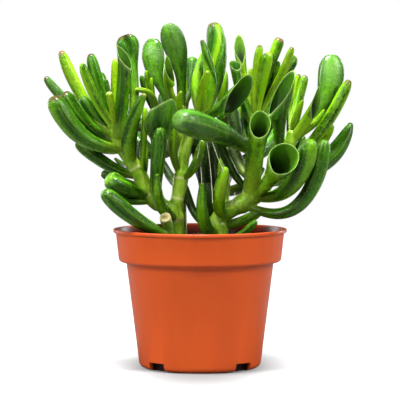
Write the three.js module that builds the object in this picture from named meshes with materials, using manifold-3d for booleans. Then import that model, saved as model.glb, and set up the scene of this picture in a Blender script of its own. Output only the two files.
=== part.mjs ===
// A potted jade plant of the finger-leaved kind, in a round plastic nursery pot.
// Millimetres, +Z up. The origin is the middle of the pot's flat underside, and -Y is the plant's front.

import * as THREE from 'three'
import { mergeVertices } from 'three/addons/utils/BufferGeometryUtils.js'
import Module from 'manifold-3d'

// ---------- driving dimensions ----------

const LIP_RADIUS = 60
const POT_HEIGHT = 96
const WALL = 1.4
const FLOOR = 1.8
const LIP_DEPTH = 2
const BAND_TOP_RADIUS = 58.3
const BAND_BOTTOM_RADIUS = 56.3
const BAND_BOTTOM_Z = 73.4
const BAND_CORNER = 2.4
const BODY_TOP_RADIUS = 51
const BODY_BOTTOM_RADIUS = 42.4
const FOOT_CORNER = 4.5
const NOTCH = { count: 4, width: 14, height: 6, reach: 7, firstAngle: Math.PI / 4 }
const NOTCH_SET_OUT = 0.8
const DRAIN_RADIUS = 3
const DRAIN_SIDES = 12
const LIP_EASE = 0.5
const LIP_FLARE = 0.8
const POT_SIDES = 48
const QUARTER = Math.PI / 2

const SOIL_EDGE_Z = 87
const SOIL_CROWN_Z = 90
const SOIL_SHOULDER = { radius: 30, drop: 0.8 }
const GAP = 0.3

const STEM_SIDES = 8
const STEM_FACES = new THREE.Vector3(0.3, -1, 0.1).normalize()
const STEM_SAMPLES = 60
const LEAF_SIDES = 8

// Leaf outlines are given as they appear from this point, on the upright plane through the pot's axis.
// A depth then slides each point along its own line of sight, toward the front (-) or the back (+).
const VIEW_POINT = new THREE.Vector3(0, -1766, 216)

const LEAF_GAP = 0.6
const SLANT_STARTS = 0.45
const SLANT_FULL = 0.95
const SETTLE_PASSES = 40
const SETTLE_SAMPLES = 9
const SETTLE_LIMIT = 26
const SETTLE_FREE_SHARE = 0.3

const COLOURS = {
  terracotta: [0xc8562c, 0.42],
  soil: [0x2b1c14, 0.95],
  stem: [0x8aa03c, 0.55],
  oldStem: [0x9a8f5a, 0.7],
  leaf: [0x3f7a22, 0.35]
}

// ---------- stems: centre-line points [x, y, z] and the radius at each end ----------

const STEMS = {
  trunk_front: {
    points: [[-15, -8, 78], [-16, -8, 95], [-16.5, -8, 103], [-17, -8, 110], [-15, -7, 120], [-13, -6, 132],
      [-11.5, -5, 145], [-9, -3, 156], [-4, -1, 168], [3, 0, 178]],
    radius: [4.4, 3.4]
  },
  branch_left: {
    points: [[-17, -8, 108], [-25, -9, 112], [-33, -10, 118], [-38, -11, 126], [-42, -12, 135],
      [-47, -13, 143], [-53, -15, 152], [-57, -16, 159], [-59, -17, 167]],
    radius: [4.6, 2.9]
  },
  trunk_right: {
    points: [[12, -6, 78], [12, -6, 97], [14, -6, 104], [20, -6, 109], [28, -6, 113], [35, -6, 117]],
    radius: [5.6, 4.8]
  },
  branch_middle: {
    points: [[35, -6, 117], [36, -3, 128], [37, -1, 145], [38, 0, 160], [39, 1, 174]],
    radius: [4.4, 3]
  },
  branch_right: {
    points: [[35, -6, 117], [44, -8, 125], [52, -9, 138], [58, -10, 147], [62, -10, 156], [64, -10, 164]],
    radius: [4.4, 2.9]
  },
  trunk_back_left: {
    points: [[-13, 16, 78], [-14, 18, 100], [-14, 18, 125], [-13, 17, 145], [-14, 14, 165], [-14, 12, 182]],
    radius: [4.4, 3.2]
  },
  branch_back_left: {
    points: [[-13, 17, 140], [-19, 21, 152], [-27, 20, 162], [-31, 16, 175]],
    radius: [3.8, 2.8]
  },
  trunk_back_right: {
    points: [[14, 18, 78], [15, 24, 105], [16, 30, 125], [18, 36, 145], [22, 40, 163]],
    radius: [4.8, 3.2]
  },
  cut_stub: {
    points: [[-20, -20, 78], [-21.5, -23, 96], [-24, -28, 106]],
    radius: [4.2, 3.8]
  }
}

// ---------- leaves ----------
// base, bow and tip are the ends and the bend of the leaf's middle line as [x, z] in the plane of the pot's
// axis. depth is how far the bow and the tip stand to the front (-) or the back (+). The base is drawn onto
// the stem. faces is the way that a hollow or flattened leaf looks, and slant how much its mouth turns to it.

const LEAVES = [
  { stem: 'branch_left', kind: 'club', width: 13.8,
    base: [-53, 152], bow: [-85.5, 150.5], tip: [-101.5, 187.5], depth: [-26, -34] },
  { stem: 'branch_left', kind: 'club', width: 12,
    base: [-56, 156], bow: [-77, 160], tip: [-94, 190.5], depth: [-10, -14] },
  { stem: 'branch_left', kind: 'finger', width: 6.4,
    base: [-56, 157], bow: [-88, 175], tip: [-107, 201], depth: [-2, -4] },
  { stem: 'branch_left', kind: 'finger', width: 7.6,
    base: [-57, 160], bow: [-80, 176], tip: [-96, 219], depth: [0, 2] },
  { stem: 'branch_left', kind: 'finger', width: 7.2,
    base: [-59, 167], bow: [-73, 182], tip: [-81.5, 210.5], depth: [-26, -30] },
  { stem: 'branch_left', kind: 'funnel', width: 7.8, slant: 0.3, faces: [0.5, -0.5, 0.6],
    base: [-58, 164], bow: [-70, 190], tip: [-75.5, 217], depth: [-16, -14] },
  { stem: 'branch_left', kind: 'trumpet', width: 9, slant: 0.5, faces: [0.9, -0.6, 0],
    base: [-57, 160], bow: [-52, 188], tip: [-52.5, 219.5], depth: [-28, -34] },
  { stem: 'branch_left', kind: 'hood', width: 15.6, slant: 0.35, faces: [0.9, 0.4, 0.2],
    base: [-50, 148], bow: [-38, 194], tip: [-51.5, 229], depth: [-6, -8] },
  { stem: 'branch_left', kind: 'horn', width: 9.6,
    base: [-48, 144], bow: [-53, 163], tip: [-38, 189.5], depth: [-30, -42] },
  { stem: 'branch_left', kind: 'hood', width: 20.5, slant: 0.4, faces: [-0.8, 0.4, 0.5],
    base: [-31, 117], bow: [-29, 158], tip: [-25, 183], depth: [-28, -34] },
  { stem: 'branch_left', kind: 'club', width: 10.4,
    base: [-41, 133], bow: [-60, 134], tip: [-85.5, 156.5], depth: [-10, -10] },
  { stem: 'branch_left', kind: 'funnel', width: 15.5, slant: 0.35, faces: [-0.3, -0.6, 0.8],
    base: [-35, 120.5], bow: [-50, 121], tip: [-63.5, 131], depth: [-20, -30] },

  { stem: 'cut_stub', kind: 'club', width: 12,
    base: [-21, 94], bow: [-41, 96], tip: [-67, 122], depth: [-32, -44] },

  { stem: 'trunk_front', kind: 'horn', width: 8.4,
    base: [-17, 104], bow: [-31, 106], tip: [-29.5, 134], depth: [-26, -40] },
  { stem: 'trunk_front', kind: 'club', width: 13.4,
    base: [3, 177], bow: [19, 198], tip: [9.5, 238.5], depth: [6, 8] },
  { stem: 'trunk_front', kind: 'horn', width: 9.5,
    base: [3, 176], bow: [12, 200], tip: [1, 226.5], depth: [-8, -6] },
  { stem: 'trunk_front', kind: 'horn', width: 9,
    base: [1, 175], bow: [-6, 195], tip: [3, 219], depth: [2, 4] },
  { stem: 'trunk_front', kind: 'horn', width: 10.5,
    base: [1, 174], bow: [0, 191], tip: [5.5, 205], depth: [-14, -22] },
  { stem: 'trunk_front', kind: 'cup', width: 15.5, slant: 0.7, faces: [0.5, -0.9, -0.1],
    base: [0, 171], bow: [16, 177], tip: [33, 194], depth: [-20, -32] },

  { stem: 'trunk_back_left', kind: 'spoon', width: 16.8, faces: [0.3, 0.9, 0.2],
    base: [-13, 178], bow: [-9.5, 207], tip: [-23, 237.5], depth: [6, 0] },
  { stem: 'trunk_back_left', kind: 'spoon', width: 14.5, faces: [0.4, 0.9, 0.2],
    base: [-14, 176], bow: [-33, 196], tip: [-32, 228.5], depth: [14, 20] },
  { stem: 'trunk_back_left', kind: 'club', width: 9,
    base: [-13, 176], bow: [-3, 196], tip: [-6, 214.5], depth: [26, 32] },

  { stem: 'trunk_right', kind: 'horn', width: 9.6,
    base: [11, 94], bow: [-1, 90], tip: [1.4, 128], depth: [-28, -34] },
  { stem: 'trunk_right', kind: 'finger', width: 8.2,
    base: [30, 114], bow: [4, 91], tip: [17.8, 139], depth: [-22, -32] },
  { stem: 'trunk_right', kind: 'club', width: 12,
    base: [30, 114], bow: [78, 88], tip: [86.5, 158], depth: [-20, -28] },

  { stem: 'branch_middle', kind: 'club', width: 20.4,
    base: [37, 150], bow: [14, 164], tip: [-16, 171.5], depth: [-26, -56] },
  { stem: 'branch_middle', kind: 'club', width: 7.8,
    base: [36, 120], bow: [22, 132], tip: [12.5, 158], depth: [-4, -8] },
  { stem: 'branch_middle', kind: 'trumpet', width: 14, slant: 0.4, faces: [0.1, -1, 0.1],
    base: [35, 119], bow: [37, 145], tip: [42.3, 171], depth: [-20, -40] },
  { stem: 'branch_middle', kind: 'trumpet', width: 7.4, slant: 0.4, faces: [0.2, -0.9, 0],
    base: [37, 170], bow: [28, 200], tip: [27, 228.5], depth: [4, 4] },
  { stem: 'branch_middle', kind: 'trumpet', width: 8.2, slant: 0.1, faces: [-0.2, -0.4, 0.9],
    base: [39, 172], bow: [45, 203], tip: [55.5, 227.5], depth: [2, -2] },
  { stem: 'branch_middle', kind: 'club', width: 8.2,
    base: [39, 171], bow: [42, 195], tip: [47.5, 218], depth: [-8, -12] },
  { stem: 'branch_middle', kind: 'finger', width: 6,
    base: [40, 173], bow: [56, 198], tip: [63.7, 221.5], depth: [-2, -8] },
  { stem: 'branch_middle', kind: 'club', width: 10.5,
    base: [39, 171], bow: [51, 194], tip: [65.5, 215.5], depth: [12, 14] },

  { stem: 'branch_right', kind: 'funnel', width: 20.5, slant: 0.2, faces: [0, -1, 0.2],
    base: [38, 119], bow: [47, 125], tip: [58.4, 146], depth: [-22, -54] },
  { stem: 'branch_right', kind: 'club', width: 12.6,
    base: [37, 118.5], bow: [67, 114], tip: [76, 158], depth: [-24, -42] },
  { stem: 'branch_right', kind: 'horn', width: 13.8,
    base: [48, 131], bow: [91, 131], tip: [104.5, 169.5], depth: [-2, 4] },
  { stem: 'branch_right', kind: 'spoon', width: 16.6, faces: [-0.2, 0.9, 0.2],
    base: [63, 158], bow: [92, 176], tip: [91, 216.5], depth: [-4, 2] },
  { stem: 'branch_right', kind: 'club', width: 8.2,
    base: [52, 138], bow: [80, 147], tip: [103.2, 199], depth: [-10, -10] },
  { stem: 'branch_right', kind: 'trumpet', width: 8.4, slant: 0.5, faces: [0.7, -0.7, -0.2],
    base: [63, 158], bow: [76, 172], tip: [83.8, 190], depth: [-14, -20] },
  { stem: 'branch_right', kind: 'cup', width: 17.5, slant: 0.7, faces: [-0.5, -0.9, 0],
    base: [55, 143], bow: [53, 170], tip: [57, 198], depth: [-24, -36] },

  { stem: 'branch_back_left', kind: 'club', width: 12,
    base: [-18, 150], bow: [-34, 140], tip: [-46, 162], depth: [40, 52] },
  { stem: 'branch_back_left', kind: 'club', width: 12,
    base: [-27, 162], bow: [-46, 162], tip: [-56, 190], depth: [26, 34] },
  { stem: 'branch_back_left', kind: 'horn', width: 10,
    base: [-22, 155], bow: [-28, 156], tip: [-34, 178], depth: [44, 66] },

  { stem: 'trunk_back_left', kind: 'club', width: 12,
    base: [-13, 140], bow: [-8, 150], tip: [-6, 178], depth: [38, 62] },

  { stem: 'trunk_back_right', kind: 'club', width: 13,
    base: [17, 138], bow: [38, 140], tip: [54, 164], depth: [54, 72] },
  { stem: 'trunk_back_right', kind: 'funnel', width: 13, slant: 0.3, faces: [0, 0.4, 0.9],
    base: [22, 160], bow: [18, 170], tip: [8, 190], depth: [54, 68] },
  { stem: 'trunk_back_right', kind: 'club', width: 12,
    base: [22, 160], bow: [36, 170], tip: [40, 198], depth: [40, 42] },
  { stem: 'trunk_back_right', kind: 'club', width: 11,
    base: [15, 112], bow: [4, 120], tip: [5, 157], depth: [22, 20] },
  { stem: 'trunk_back_right', kind: 'club', width: 12,
    base: [16, 125], bow: [20, 128], tip: [14, 156], depth: [52, 80] }
]

// ---------- leaf shapes ----------
// outline gives the share of the half width at each share of the length, from base to tip. flat is the depth
// across the leaf as a share of its width. mouth says how wide and how deep the hollow at the tip is.

const KINDS = {
  finger: {
    outline: [[0, 0.6], [0.1, 0.76], [0.4, 0.9], [0.75, 1], [0.92, 0.86], [0.982, 0.5]],
    flat: 0.95
  },
  club: {
    outline: [[0, 0.4], [0.12, 0.54], [0.35, 0.74], [0.6, 0.92], [0.82, 1], [0.94, 0.82], [0.985, 0.48]],
    flat: 0.88
  },
  horn: {
    outline: [[0, 0.56], [0.1, 0.88], [0.3, 1], [0.6, 0.88], [0.84, 0.64], [0.96, 0.38]],
    flat: 0.88
  },
  spoon: {
    outline: [[0, 0.36], [0.2, 0.42], [0.4, 0.54], [0.56, 0.8], [0.7, 0.98], [0.8, 1], [0.92, 0.82],
      [0.98, 0.48]],
    flat: 0.5
  },
  hood: {
    outline: [[0, 0.38], [0.2, 0.44], [0.58, 0.5], [0.7, 0.78], [0.8, 0.96], [0.97, 1]],
    flat: 0.8,
    mouth: { rim: 0.84, deep: 0.18 }
  },
  funnel: {
    outline: [[0, 0.4], [0.15, 0.48], [0.45, 0.58], [0.7, 0.8], [0.88, 0.96], [0.97, 1]],
    flat: 1,
    mouth: { rim: 0.84, deep: 0.24 }
  },
  trumpet: {
    outline: [[0, 0.6], [0.12, 0.82], [0.5, 0.9], [0.8, 0.93], [0.97, 1]],
    flat: 1,
    mouth: { rim: 0.84, deep: 0.16 }
  },
  cup: {
    outline: [[0, 0.38], [0.15, 0.46], [0.45, 0.56], [0.66, 0.78], [0.84, 0.96], [0.97, 1]],
    flat: 0.8,
    mouth: { rim: 0.84, deep: 0.24 }
  }
}

// ---------- solids ----------

const MERGE_WITHIN = 1e-4
const SIMPLIFY_WITHIN = 0.01

const wasm = await Module()
wasm.setup()

/** A closed geometry as a solid that can be joined and cut. */
function toSolid(geometry) {
  const bare = geometry.index ? geometry.toNonIndexed() : geometry.clone()
  bare.deleteAttribute('normal')
  bare.deleteAttribute('uv')
  const merged = mergeVertices(bare, MERGE_WITHIN)
  const vertProperties = new Float32Array(merged.attributes.position.array)
  const triVerts = new Uint32Array(merged.index.array)
  const mesh = new wasm.Mesh({ numProp: 3, vertProperties, triVerts })
  return new wasm.Manifold(mesh)
}

/** A solid back as a geometry with flat faces. */
function toGeometry(solid) {
  const mesh = solid.getMesh()
  const geometry = new THREE.BufferGeometry()
  geometry.setAttribute('position', new THREE.BufferAttribute(new Float32Array(mesh.vertProperties), 3))
  geometry.setIndex(new THREE.BufferAttribute(new Uint32Array(mesh.triVerts), 1))
  geometry.computeVertexNormals()
  return geometry
}

/** The largest separate body of a solid. */
function largestBody(solid) {
  const bodies = solid.decompose()
  return bodies.reduce((best, body) => (body.volume() > best.volume() ? body : best))
}

/** A turned solid about the upright axis, from [radius, height] points. */
function turned(points) {
  const profile = points.map(([r, z]) => new THREE.Vector2(r, z))
  return toSolid(new THREE.LatheGeometry(profile, POT_SIDES).rotateX(QUARTER))
}

/** Points of a quarter round from one angle to another. */
function roundCorner(centreR, centreZ, radius, from, to, steps) {
  return Array.from({ length: steps + 1 }, (_, i) => {
    const angle = from + (to - from) * i / steps
    return [centreR + radius * Math.cos(angle), centreZ + radius * Math.sin(angle)]
  })
}

// ---------- pot ----------

const BODY_SLOPE = (BODY_TOP_RADIUS - BODY_BOTTOM_RADIUS) / (BAND_BOTTOM_Z - FOOT_CORNER)

/** The pot's outer outline from the middle of its underside up to its lip. */
function potOutside() {
  const bandEdge = BAND_BOTTOM_RADIUS - BAND_CORNER
  return [
    [0, 0],
    ...roundCorner(BODY_BOTTOM_RADIUS - FOOT_CORNER, FOOT_CORNER, FOOT_CORNER, -QUARTER, 0, 4),
    [BODY_TOP_RADIUS, BAND_BOTTOM_Z],
    ...roundCorner(bandEdge, BAND_BOTTOM_Z + BAND_CORNER, BAND_CORNER, -QUARTER, 0, 3),
    [BAND_TOP_RADIUS, POT_HEIGHT - LIP_DEPTH - LIP_FLARE],
    [LIP_RADIUS, POT_HEIGHT - LIP_DEPTH],
    [LIP_RADIUS, POT_HEIGHT - LIP_EASE],
    [LIP_RADIUS - LIP_EASE, POT_HEIGHT]
  ]
}

/** The outline of the room inside the pot, pulled in by a margin and closed at a given height. */
function potRoom(margin, top) {
  const floor = FLOOR + margin
  const low = BODY_BOTTOM_RADIUS - WALL - margin
  const step = BAND_BOTTOM_Z + WALL + margin
  const waist = BODY_TOP_RADIUS - WALL - margin
  const band = BAND_BOTTOM_RADIUS - WALL - margin
  const room = [[0, floor], [low - 3, floor], [low + BODY_SLOPE * (floor - 1), floor + 3], [waist, step]]
  if (top > step + 3) room.push([band - 1.5, step + 0.3], [band, step + 2])
  room.push([band + (BAND_TOP_RADIUS - BAND_BOTTOM_RADIUS) * (top - step) / (POT_HEIGHT - step), top])
  return room
}

/** The drain notches around the foot, grown by a margin. */
function notches(margin) {
  return Array.from({ length: NOTCH.count }, (_, i) => {
    const size = [NOTCH.reach * 2 + margin * 2, NOTCH.width + margin * 2, NOTCH.height * 2 + margin * 2]
    const box = new THREE.BoxGeometry(...size).translate(BODY_BOTTOM_RADIUS + NOTCH_SET_OUT, 0, 0)
    return toSolid(box.rotateZ(NOTCH.firstAngle + i * 2 * Math.PI / NOTCH.count))
  })
}

/** The drain holes, one through the ceiling of each notch. */
function drains() {
  return Array.from({ length: NOTCH.count }, (_, i) => {
    const hole = new THREE.CylinderGeometry(DRAIN_RADIUS, DRAIN_RADIUS, NOTCH.height * 2, DRAIN_SIDES)
    hole.rotateX(QUARTER).translate(BODY_BOTTOM_RADIUS - NOTCH.reach + DRAIN_RADIUS, 0, NOTCH.height + 1)
    return toSolid(hole.rotateZ(NOTCH.firstAngle + i * 2 * Math.PI / NOTCH.count))
  })
}

function cutAll(solid, cutters) {
  return cutters.reduce((left, cutter) => left.subtract(cutter), solid)
}

function potSolid() {
  const top = POT_HEIGHT + 4
  const room = turned([...potRoom(0, top), [0, top]])
  const hollow = cutAll(room, notches(WALL))
  const shell = cutAll(turned([...potOutside(), [0, POT_HEIGHT]]), notches(0))
  return cutAll(shell.subtract(hollow), drains())
}

function soilSolid(stems) {
  const shoulder = [SOIL_SHOULDER.radius, SOIL_CROWN_Z - SOIL_SHOULDER.drop]
  const fill = turned([...potRoom(GAP, SOIL_EDGE_Z), shoulder, [0, SOIL_CROWN_Z]])
  return cutAll(cutAll(fill, notches(WALL + GAP)), stems)
}

// ---------- stems and leaves as bent turned shapes ----------

function curveOf(points) {
  return new THREE.CatmullRomCurve3(points.map(p => new THREE.Vector3(...p)))
}

/** Bends a shape turned about the Y axis, from 0 to 1 high, along a curve. */
function bend(geometry, curve, faces, across, through) {
  const position = geometry.attributes.position
  const tangent = new THREE.Vector3()
  for (let i = 0; i < position.count; i++) {
    const along = position.getY(i)
    const t = THREE.MathUtils.clamp(along, 0, 1)
    tangent.copy(curve.getTangent(t))
    const side = new THREE.Vector3().crossVectors(tangent, faces).normalize()
    const front = new THREE.Vector3().crossVectors(side, tangent)
    const point = curve.getPoint(t)
    point.addScaledVector(tangent, (along - t) * curve.getLength())
    point.addScaledVector(side, position.getX(i) * across)
    point.addScaledVector(front, position.getZ(i) * through)
    position.setXYZ(i, point.x, point.y, point.z)
  }
  return geometry
}

/** A stem as a round bar along its centre-line, with rounded ends. */
function stemSolid({ points, radius }, grow = 0) {
  const curve = curveOf(points)
  const [thick, thin] = radius
  const length = curve.getLength()
  const steps = points.length * 2
  const profile = [new THREE.Vector2(0, -grow / length)]
  for (let i = 0; i <= steps; i++) {
    profile.push(new THREE.Vector2(thick + (thin - thick) * i / steps + grow, i / steps))
  }
  profile.push(new THREE.Vector2((thin + grow) * 0.6, 1 + (thin * 0.45 + grow) / length))
  profile.push(new THREE.Vector2(0, 1 + (thin * 0.6 + grow) / length))
  const bar = new THREE.LatheGeometry(profile, STEM_SIDES)
  return toSolid(bend(bar, curve, STEM_FACES, 1, 1))
}

/** The half width share at a share of the length, eased between the outline's points. */
function outlineAt(outline, t) {
  const after = outline.findIndex(([at]) => at >= t)
  if (after <= 0) return after === 0 ? outline[0][1] : outline.at(-1)[1]
  const [t0, r0] = outline[after - 1]
  const [t1, r1] = outline[after]
  return r0 + (r1 - r0) * (t - t0) / (t1 - t0)
}

/** The turned outline of a leaf, 1 long and 1 in radius, with its hollow mouth where it has one. */
function leafProfile({ outline, mouth }, plain) {
  const profile = [new THREE.Vector2(0, 0), ...outline.map(([at, r]) => new THREE.Vector2(r, at))]
  if (plain || !mouth) return [...profile, new THREE.Vector2(0, 1)]
  const { rim, deep } = mouth
  return [...profile,
    new THREE.Vector2((1 + rim) / 2, 1),
    new THREE.Vector2(rim, 0.985),
    new THREE.Vector2(rim * 0.7, 1 - deep * 0.7),
    new THREE.Vector2(0, 1 - deep)]
}

/** Slants the end of a hollow leaf, so that its mouth looks to the front of the leaf. */
function slantMouth(geometry, slant, halfWidthShare) {
  const position = geometry.attributes.position
  for (let i = 0; i < position.count; i++) {
    const along = position.getY(i)
    const weight = THREE.MathUtils.smoothstep(along, SLANT_STARTS, SLANT_FULL)
    const drop = slant * halfWidthShare * 2 * position.getZ(i) * weight
    position.setY(i, along - drop - slant * halfWidthShare * weight)
  }
}

/** A leaf as a solid. grow swells it all round, for cutting its neighbours clear. */
function leafSolid(leaf, grow = 0) {
  const kind = KINDS[leaf.kind]
  const length = leaf.curve.getLength()
  const half = leaf.width / 2
  const shape = new THREE.LatheGeometry(leafProfile(kind, grow > 0), LEAF_SIDES)
  const stretch = 1 + 2 * grow / length
  if (grow > 0) shape.scale(1, stretch, 1).translate(0, -grow / length, 0)
  if (kind.mouth) slantMouth(shape, leaf.slant, half / length)
  return toSolid(bend(shape, leaf.curve, leaf.faces, half + grow, half * kind.flat + grow))
}

// ---------- placing the leaves ----------

/** The point that looks the same as [x, z] on the axis plane, but stands at another depth. */
function atDepth([x, z], depth) {
  const seen = new THREE.Vector3(x, 0, z)
  return seen.sub(VIEW_POINT).multiplyScalar(1 - depth / VIEW_POINT.y).add(VIEW_POINT)
}

function nearestOn(curve, [x, z]) {
  const points = curve.getPoints(STEM_SAMPLES)
  const gap = p => Math.hypot(p.x - x, p.z - z)
  return points.reduce((best, p) => (gap(p) < gap(best) ? p : best))
}

/** The way that a leaf looks when its row doesn't say: up, and back along its own run. */
function naturalFacing(from, to) {
  const along = to.clone().sub(from).normalize()
  return new THREE.Vector3(-along.x * 0.4, -along.y * 0.4, 1).normalize()
}

function placeLeaf(leaf) {
  const root = nearestOn(curveOf(STEMS[leaf.stem].points), leaf.base)
  return { ...leaf, root, bowDepth: leaf.depth[0], tipDepth: leaf.depth[1] }
}

/** Draws the leaf's middle line at its present depths. */
function drawLine(leaf) {
  const bow = atDepth(leaf.bow, leaf.bowDepth)
  const tip = atDepth(leaf.tip, leaf.tipDepth)
  leaf.curve = new THREE.QuadraticBezierCurve3(leaf.root, bow, tip)
}

function leafDisc(leaf, t) {
  const centre = leaf.curve.getPoint(t)
  const share = outlineAt(KINDS[leaf.kind].outline, t)
  return { t, centre, radius: share * leaf.width / 2 }
}

function leafDiscs(leaf) {
  return Array.from({ length: SETTLE_SAMPLES }, (_, i) => leafDisc(leaf, (i + 1) / SETTLE_SAMPLES))
}

/** The push in depth that parts two discs, or 0 where they are clear. */
function pushApart(a, b) {
  const reach = a.radius + b.radius + LEAF_GAP
  const flat = Math.hypot(a.centre.x - b.centre.x, a.centre.z - b.centre.z)
  if (flat >= reach) return 0
  const apart = Math.abs(a.centre.y - b.centre.y)
  return Math.max(0, Math.sqrt(reach * reach - flat * flat) - apart)
}

/** The largest push that any two discs of two leaves ask for, with the two discs. */
function pushBetween(discsA, discsB) {
  let most = { push: 0, a: null, b: null }
  for (const a of discsA) {
    for (const b of discsB) {
      const push = pushApart(a, b)
      if (push > most.push) most = { push, a, b }
    }
  }
  return most
}

/** Slides crossing leaves apart in depth, each in the order in which they lie from front to back. */
function settle(leaves) {
  leaves.forEach(drawLine)
  const start = leaves.map(leaf => [leaf.bowDepth, leaf.tipDepth])
  const middle = leaves.map(leaf => leaf.bowDepth + leaf.tipDepth)
  for (let pass = 0; pass < SETTLE_PASSES; pass++) {
    const discs = leaves.map(leafDiscs)
    const move = leaves.map(() => [0, 0])
    for (let i = 0; i < leaves.length; i++) {
      for (let j = i + 1; j < leaves.length; j++) {
        const { push, a, b } = pushBetween(discs[i], discs[j])
        if (push === 0 || Math.min(a.t, b.t) < SETTLE_FREE_SHARE) continue
        const side = middle[i] <= middle[j] ? -0.5 : 0.5
        shareOut(move[i], side * push, a.t)
        shareOut(move[j], -side * push, b.t)
      }
    }
    leaves.forEach((leaf, i) => {
      leaf.bowDepth = keepNear(leaf.bowDepth + move[i][0], start[i][0])
      leaf.tipDepth = keepNear(leaf.tipDepth + move[i][1], start[i][1])
      drawLine(leaf)
    })
  }
}

/** Turns a push at one point of a leaf into a move of its bow and its tip. */
function shareOut(move, push, t) {
  const bow = 2 * t * (1 - t)
  const tip = t * t
  const scale = 0.5 / (bow * bow + tip * tip)
  move[0] += push * bow * scale
  move[1] += push * tip * scale
}

function keepNear(depth, start) {
  return THREE.MathUtils.clamp(depth, start - SETTLE_LIMIT, start + SETTLE_LIMIT)
}

// ---------- the plant ----------

function makeLeaves() {
  const leaves = LEAVES.map(placeLeaf)
  settle(leaves)
  const counts = {}
  for (const leaf of leaves) {
    counts[leaf.stem] = (counts[leaf.stem] ?? 0) + 1
    leaf.name = `${leaf.stem}_leaf_${counts[leaf.stem]}`
    leaf.faces = leaf.faces
      ? new THREE.Vector3(...leaf.faces).normalize()
      : naturalFacing(leaf.root, leaf.curve.getPoint(1))
  }
  return leaves
}

/** Whether two solids' boxes meet. */
function boxesMeet(a, b) {
  const p = a.boundingBox()
  const q = b.boundingBox()
  return [0, 1, 2].every(k => p.min[k] <= q.max[k] && q.min[k] <= p.max[k])
}

/** Cuts a solid clear of its swollen neighbours and keeps the body that is left. */
function trimmed(solid, cutters) {
  const near = cutters.filter(cutter => boxesMeet(solid, cutter))
  return near.length === 0 ? solid : largestBody(cutAll(solid, near).simplify(SIMPLIFY_WITHIN))
}

function named(name, solid, [colour, roughness]) {
  const material = new THREE.MeshStandardMaterial({ color: colour, roughness, metalness: 0 })
  const mesh = new THREE.Mesh(toGeometry(solid), material)
  mesh.name = name
  return mesh
}

function build() {
  const plant = new THREE.Group()
  const pot = potSolid()
  const grownStems = []
  const stemNames = Object.keys(STEMS)
  for (const name of stemNames) {
    const stem = trimmed(stemSolid(STEMS[name]), grownStems)
    grownStems.push(stemSolid(STEMS[name], GAP))
    plant.add(named(name, stem, name === 'cut_stub' ? COLOURS.oldStem : COLOURS.stem))
  }
  const soil = soilSolid(grownStems)
  const cutters = [...grownStems, soil.translate([0, 0, GAP])]
  for (const leaf of makeLeaves()) {
    plant.add(named(leaf.name, trimmed(leafSolid(leaf), cutters), COLOURS.leaf))
    cutters.push(leafSolid(leaf, GAP))
  }
  plant.add(named('pot', pot, COLOURS.terracotta))
  plant.add(named('soil', soil, COLOURS.soil))
  return plant
}

export default build()
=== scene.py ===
# %% [markdown]
# # A potted jade plant
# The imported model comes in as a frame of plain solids. Each step below makes one piece of the real
# plant in its place, or one of its finishes. Everything is in metres, with +Z up, and the plant's
# front looks along -Y.

# %% Load the frame
import math

import bpy
import numpy as np
from mathutils import Matrix, Vector, noise


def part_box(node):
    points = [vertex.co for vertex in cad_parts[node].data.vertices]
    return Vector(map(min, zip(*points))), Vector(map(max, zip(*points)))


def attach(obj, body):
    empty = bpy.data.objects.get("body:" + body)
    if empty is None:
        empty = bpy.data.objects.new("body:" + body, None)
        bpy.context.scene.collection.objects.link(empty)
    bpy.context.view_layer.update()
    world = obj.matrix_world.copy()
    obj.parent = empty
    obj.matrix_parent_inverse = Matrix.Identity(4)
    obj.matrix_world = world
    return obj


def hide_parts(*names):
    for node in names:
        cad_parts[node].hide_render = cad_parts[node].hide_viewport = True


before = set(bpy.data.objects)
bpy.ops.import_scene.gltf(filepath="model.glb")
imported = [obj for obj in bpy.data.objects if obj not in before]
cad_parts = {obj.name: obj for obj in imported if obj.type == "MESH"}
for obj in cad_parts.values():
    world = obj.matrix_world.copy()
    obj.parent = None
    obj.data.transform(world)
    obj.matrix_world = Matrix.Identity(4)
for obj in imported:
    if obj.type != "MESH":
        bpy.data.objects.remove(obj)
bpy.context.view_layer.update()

MM = 0.001
BODY = "root"

# %% [markdown]
# ## Building finishes from nodes
# Every finish and the light around the plant are small graphs of nodes. A wire is what one node puts
# out. Wires are added, subtracted and multiplied like numbers, which makes the maths nodes, so a
# finish reads like a recipe.

# %% Nodes
class Wire:
    """What a node puts out."""

    def __init__(self, socket):
        self.socket = socket
        self.tree = socket.id_data

    def __add__(self, other):
        return maths("ADD", self, other)

    def __sub__(self, other):
        return maths("SUBTRACT", self, other)

    def __mul__(self, other):
        return maths("MULTIPLY", self, other)


def node(tree, kind, inputs=None, **settings):
    """Adds a node. Each input takes a plain value, or the wire that feeds it."""
    made = tree.nodes.new(kind)
    for key, value in settings.items():
        setattr(made, key, value)
    for key, value in (inputs or {}).items():
        if isinstance(value, Wire):
            tree.links.new(value.socket, made.inputs[key])
        else:
            made.inputs[key].default_value = value
    return made


def wire(tree, kind, inputs=None, out=0, **settings):
    """Adds a node and gives one of its outputs."""
    return Wire(node(tree, kind, inputs, **settings).outputs[out])


def maths(operation, a, b=0.0, clamp=False):
    return wire(a.tree, "ShaderNodeMath", {0: a, 1: b}, operation=operation, use_clamp=clamp)


def mix(amount, a, b):
    return wire(amount.tree, "ShaderNodeMix", {0: amount, 6: a, 7: b}, 2, data_type="RGBA")


def spread(value, low, high, to_low=0.0, to_high=1.0, kind="SMOOTHSTEP"):
    """Maps a value from one range to another, eased at both ends unless the kind says otherwise."""
    inputs = {"Value": value, "From Min": low, "From Max": high, "To Min": to_low, "To Max": to_high}
    return wire(value.tree, "ShaderNodeMapRange", inputs, interpolation_type=kind)

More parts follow.
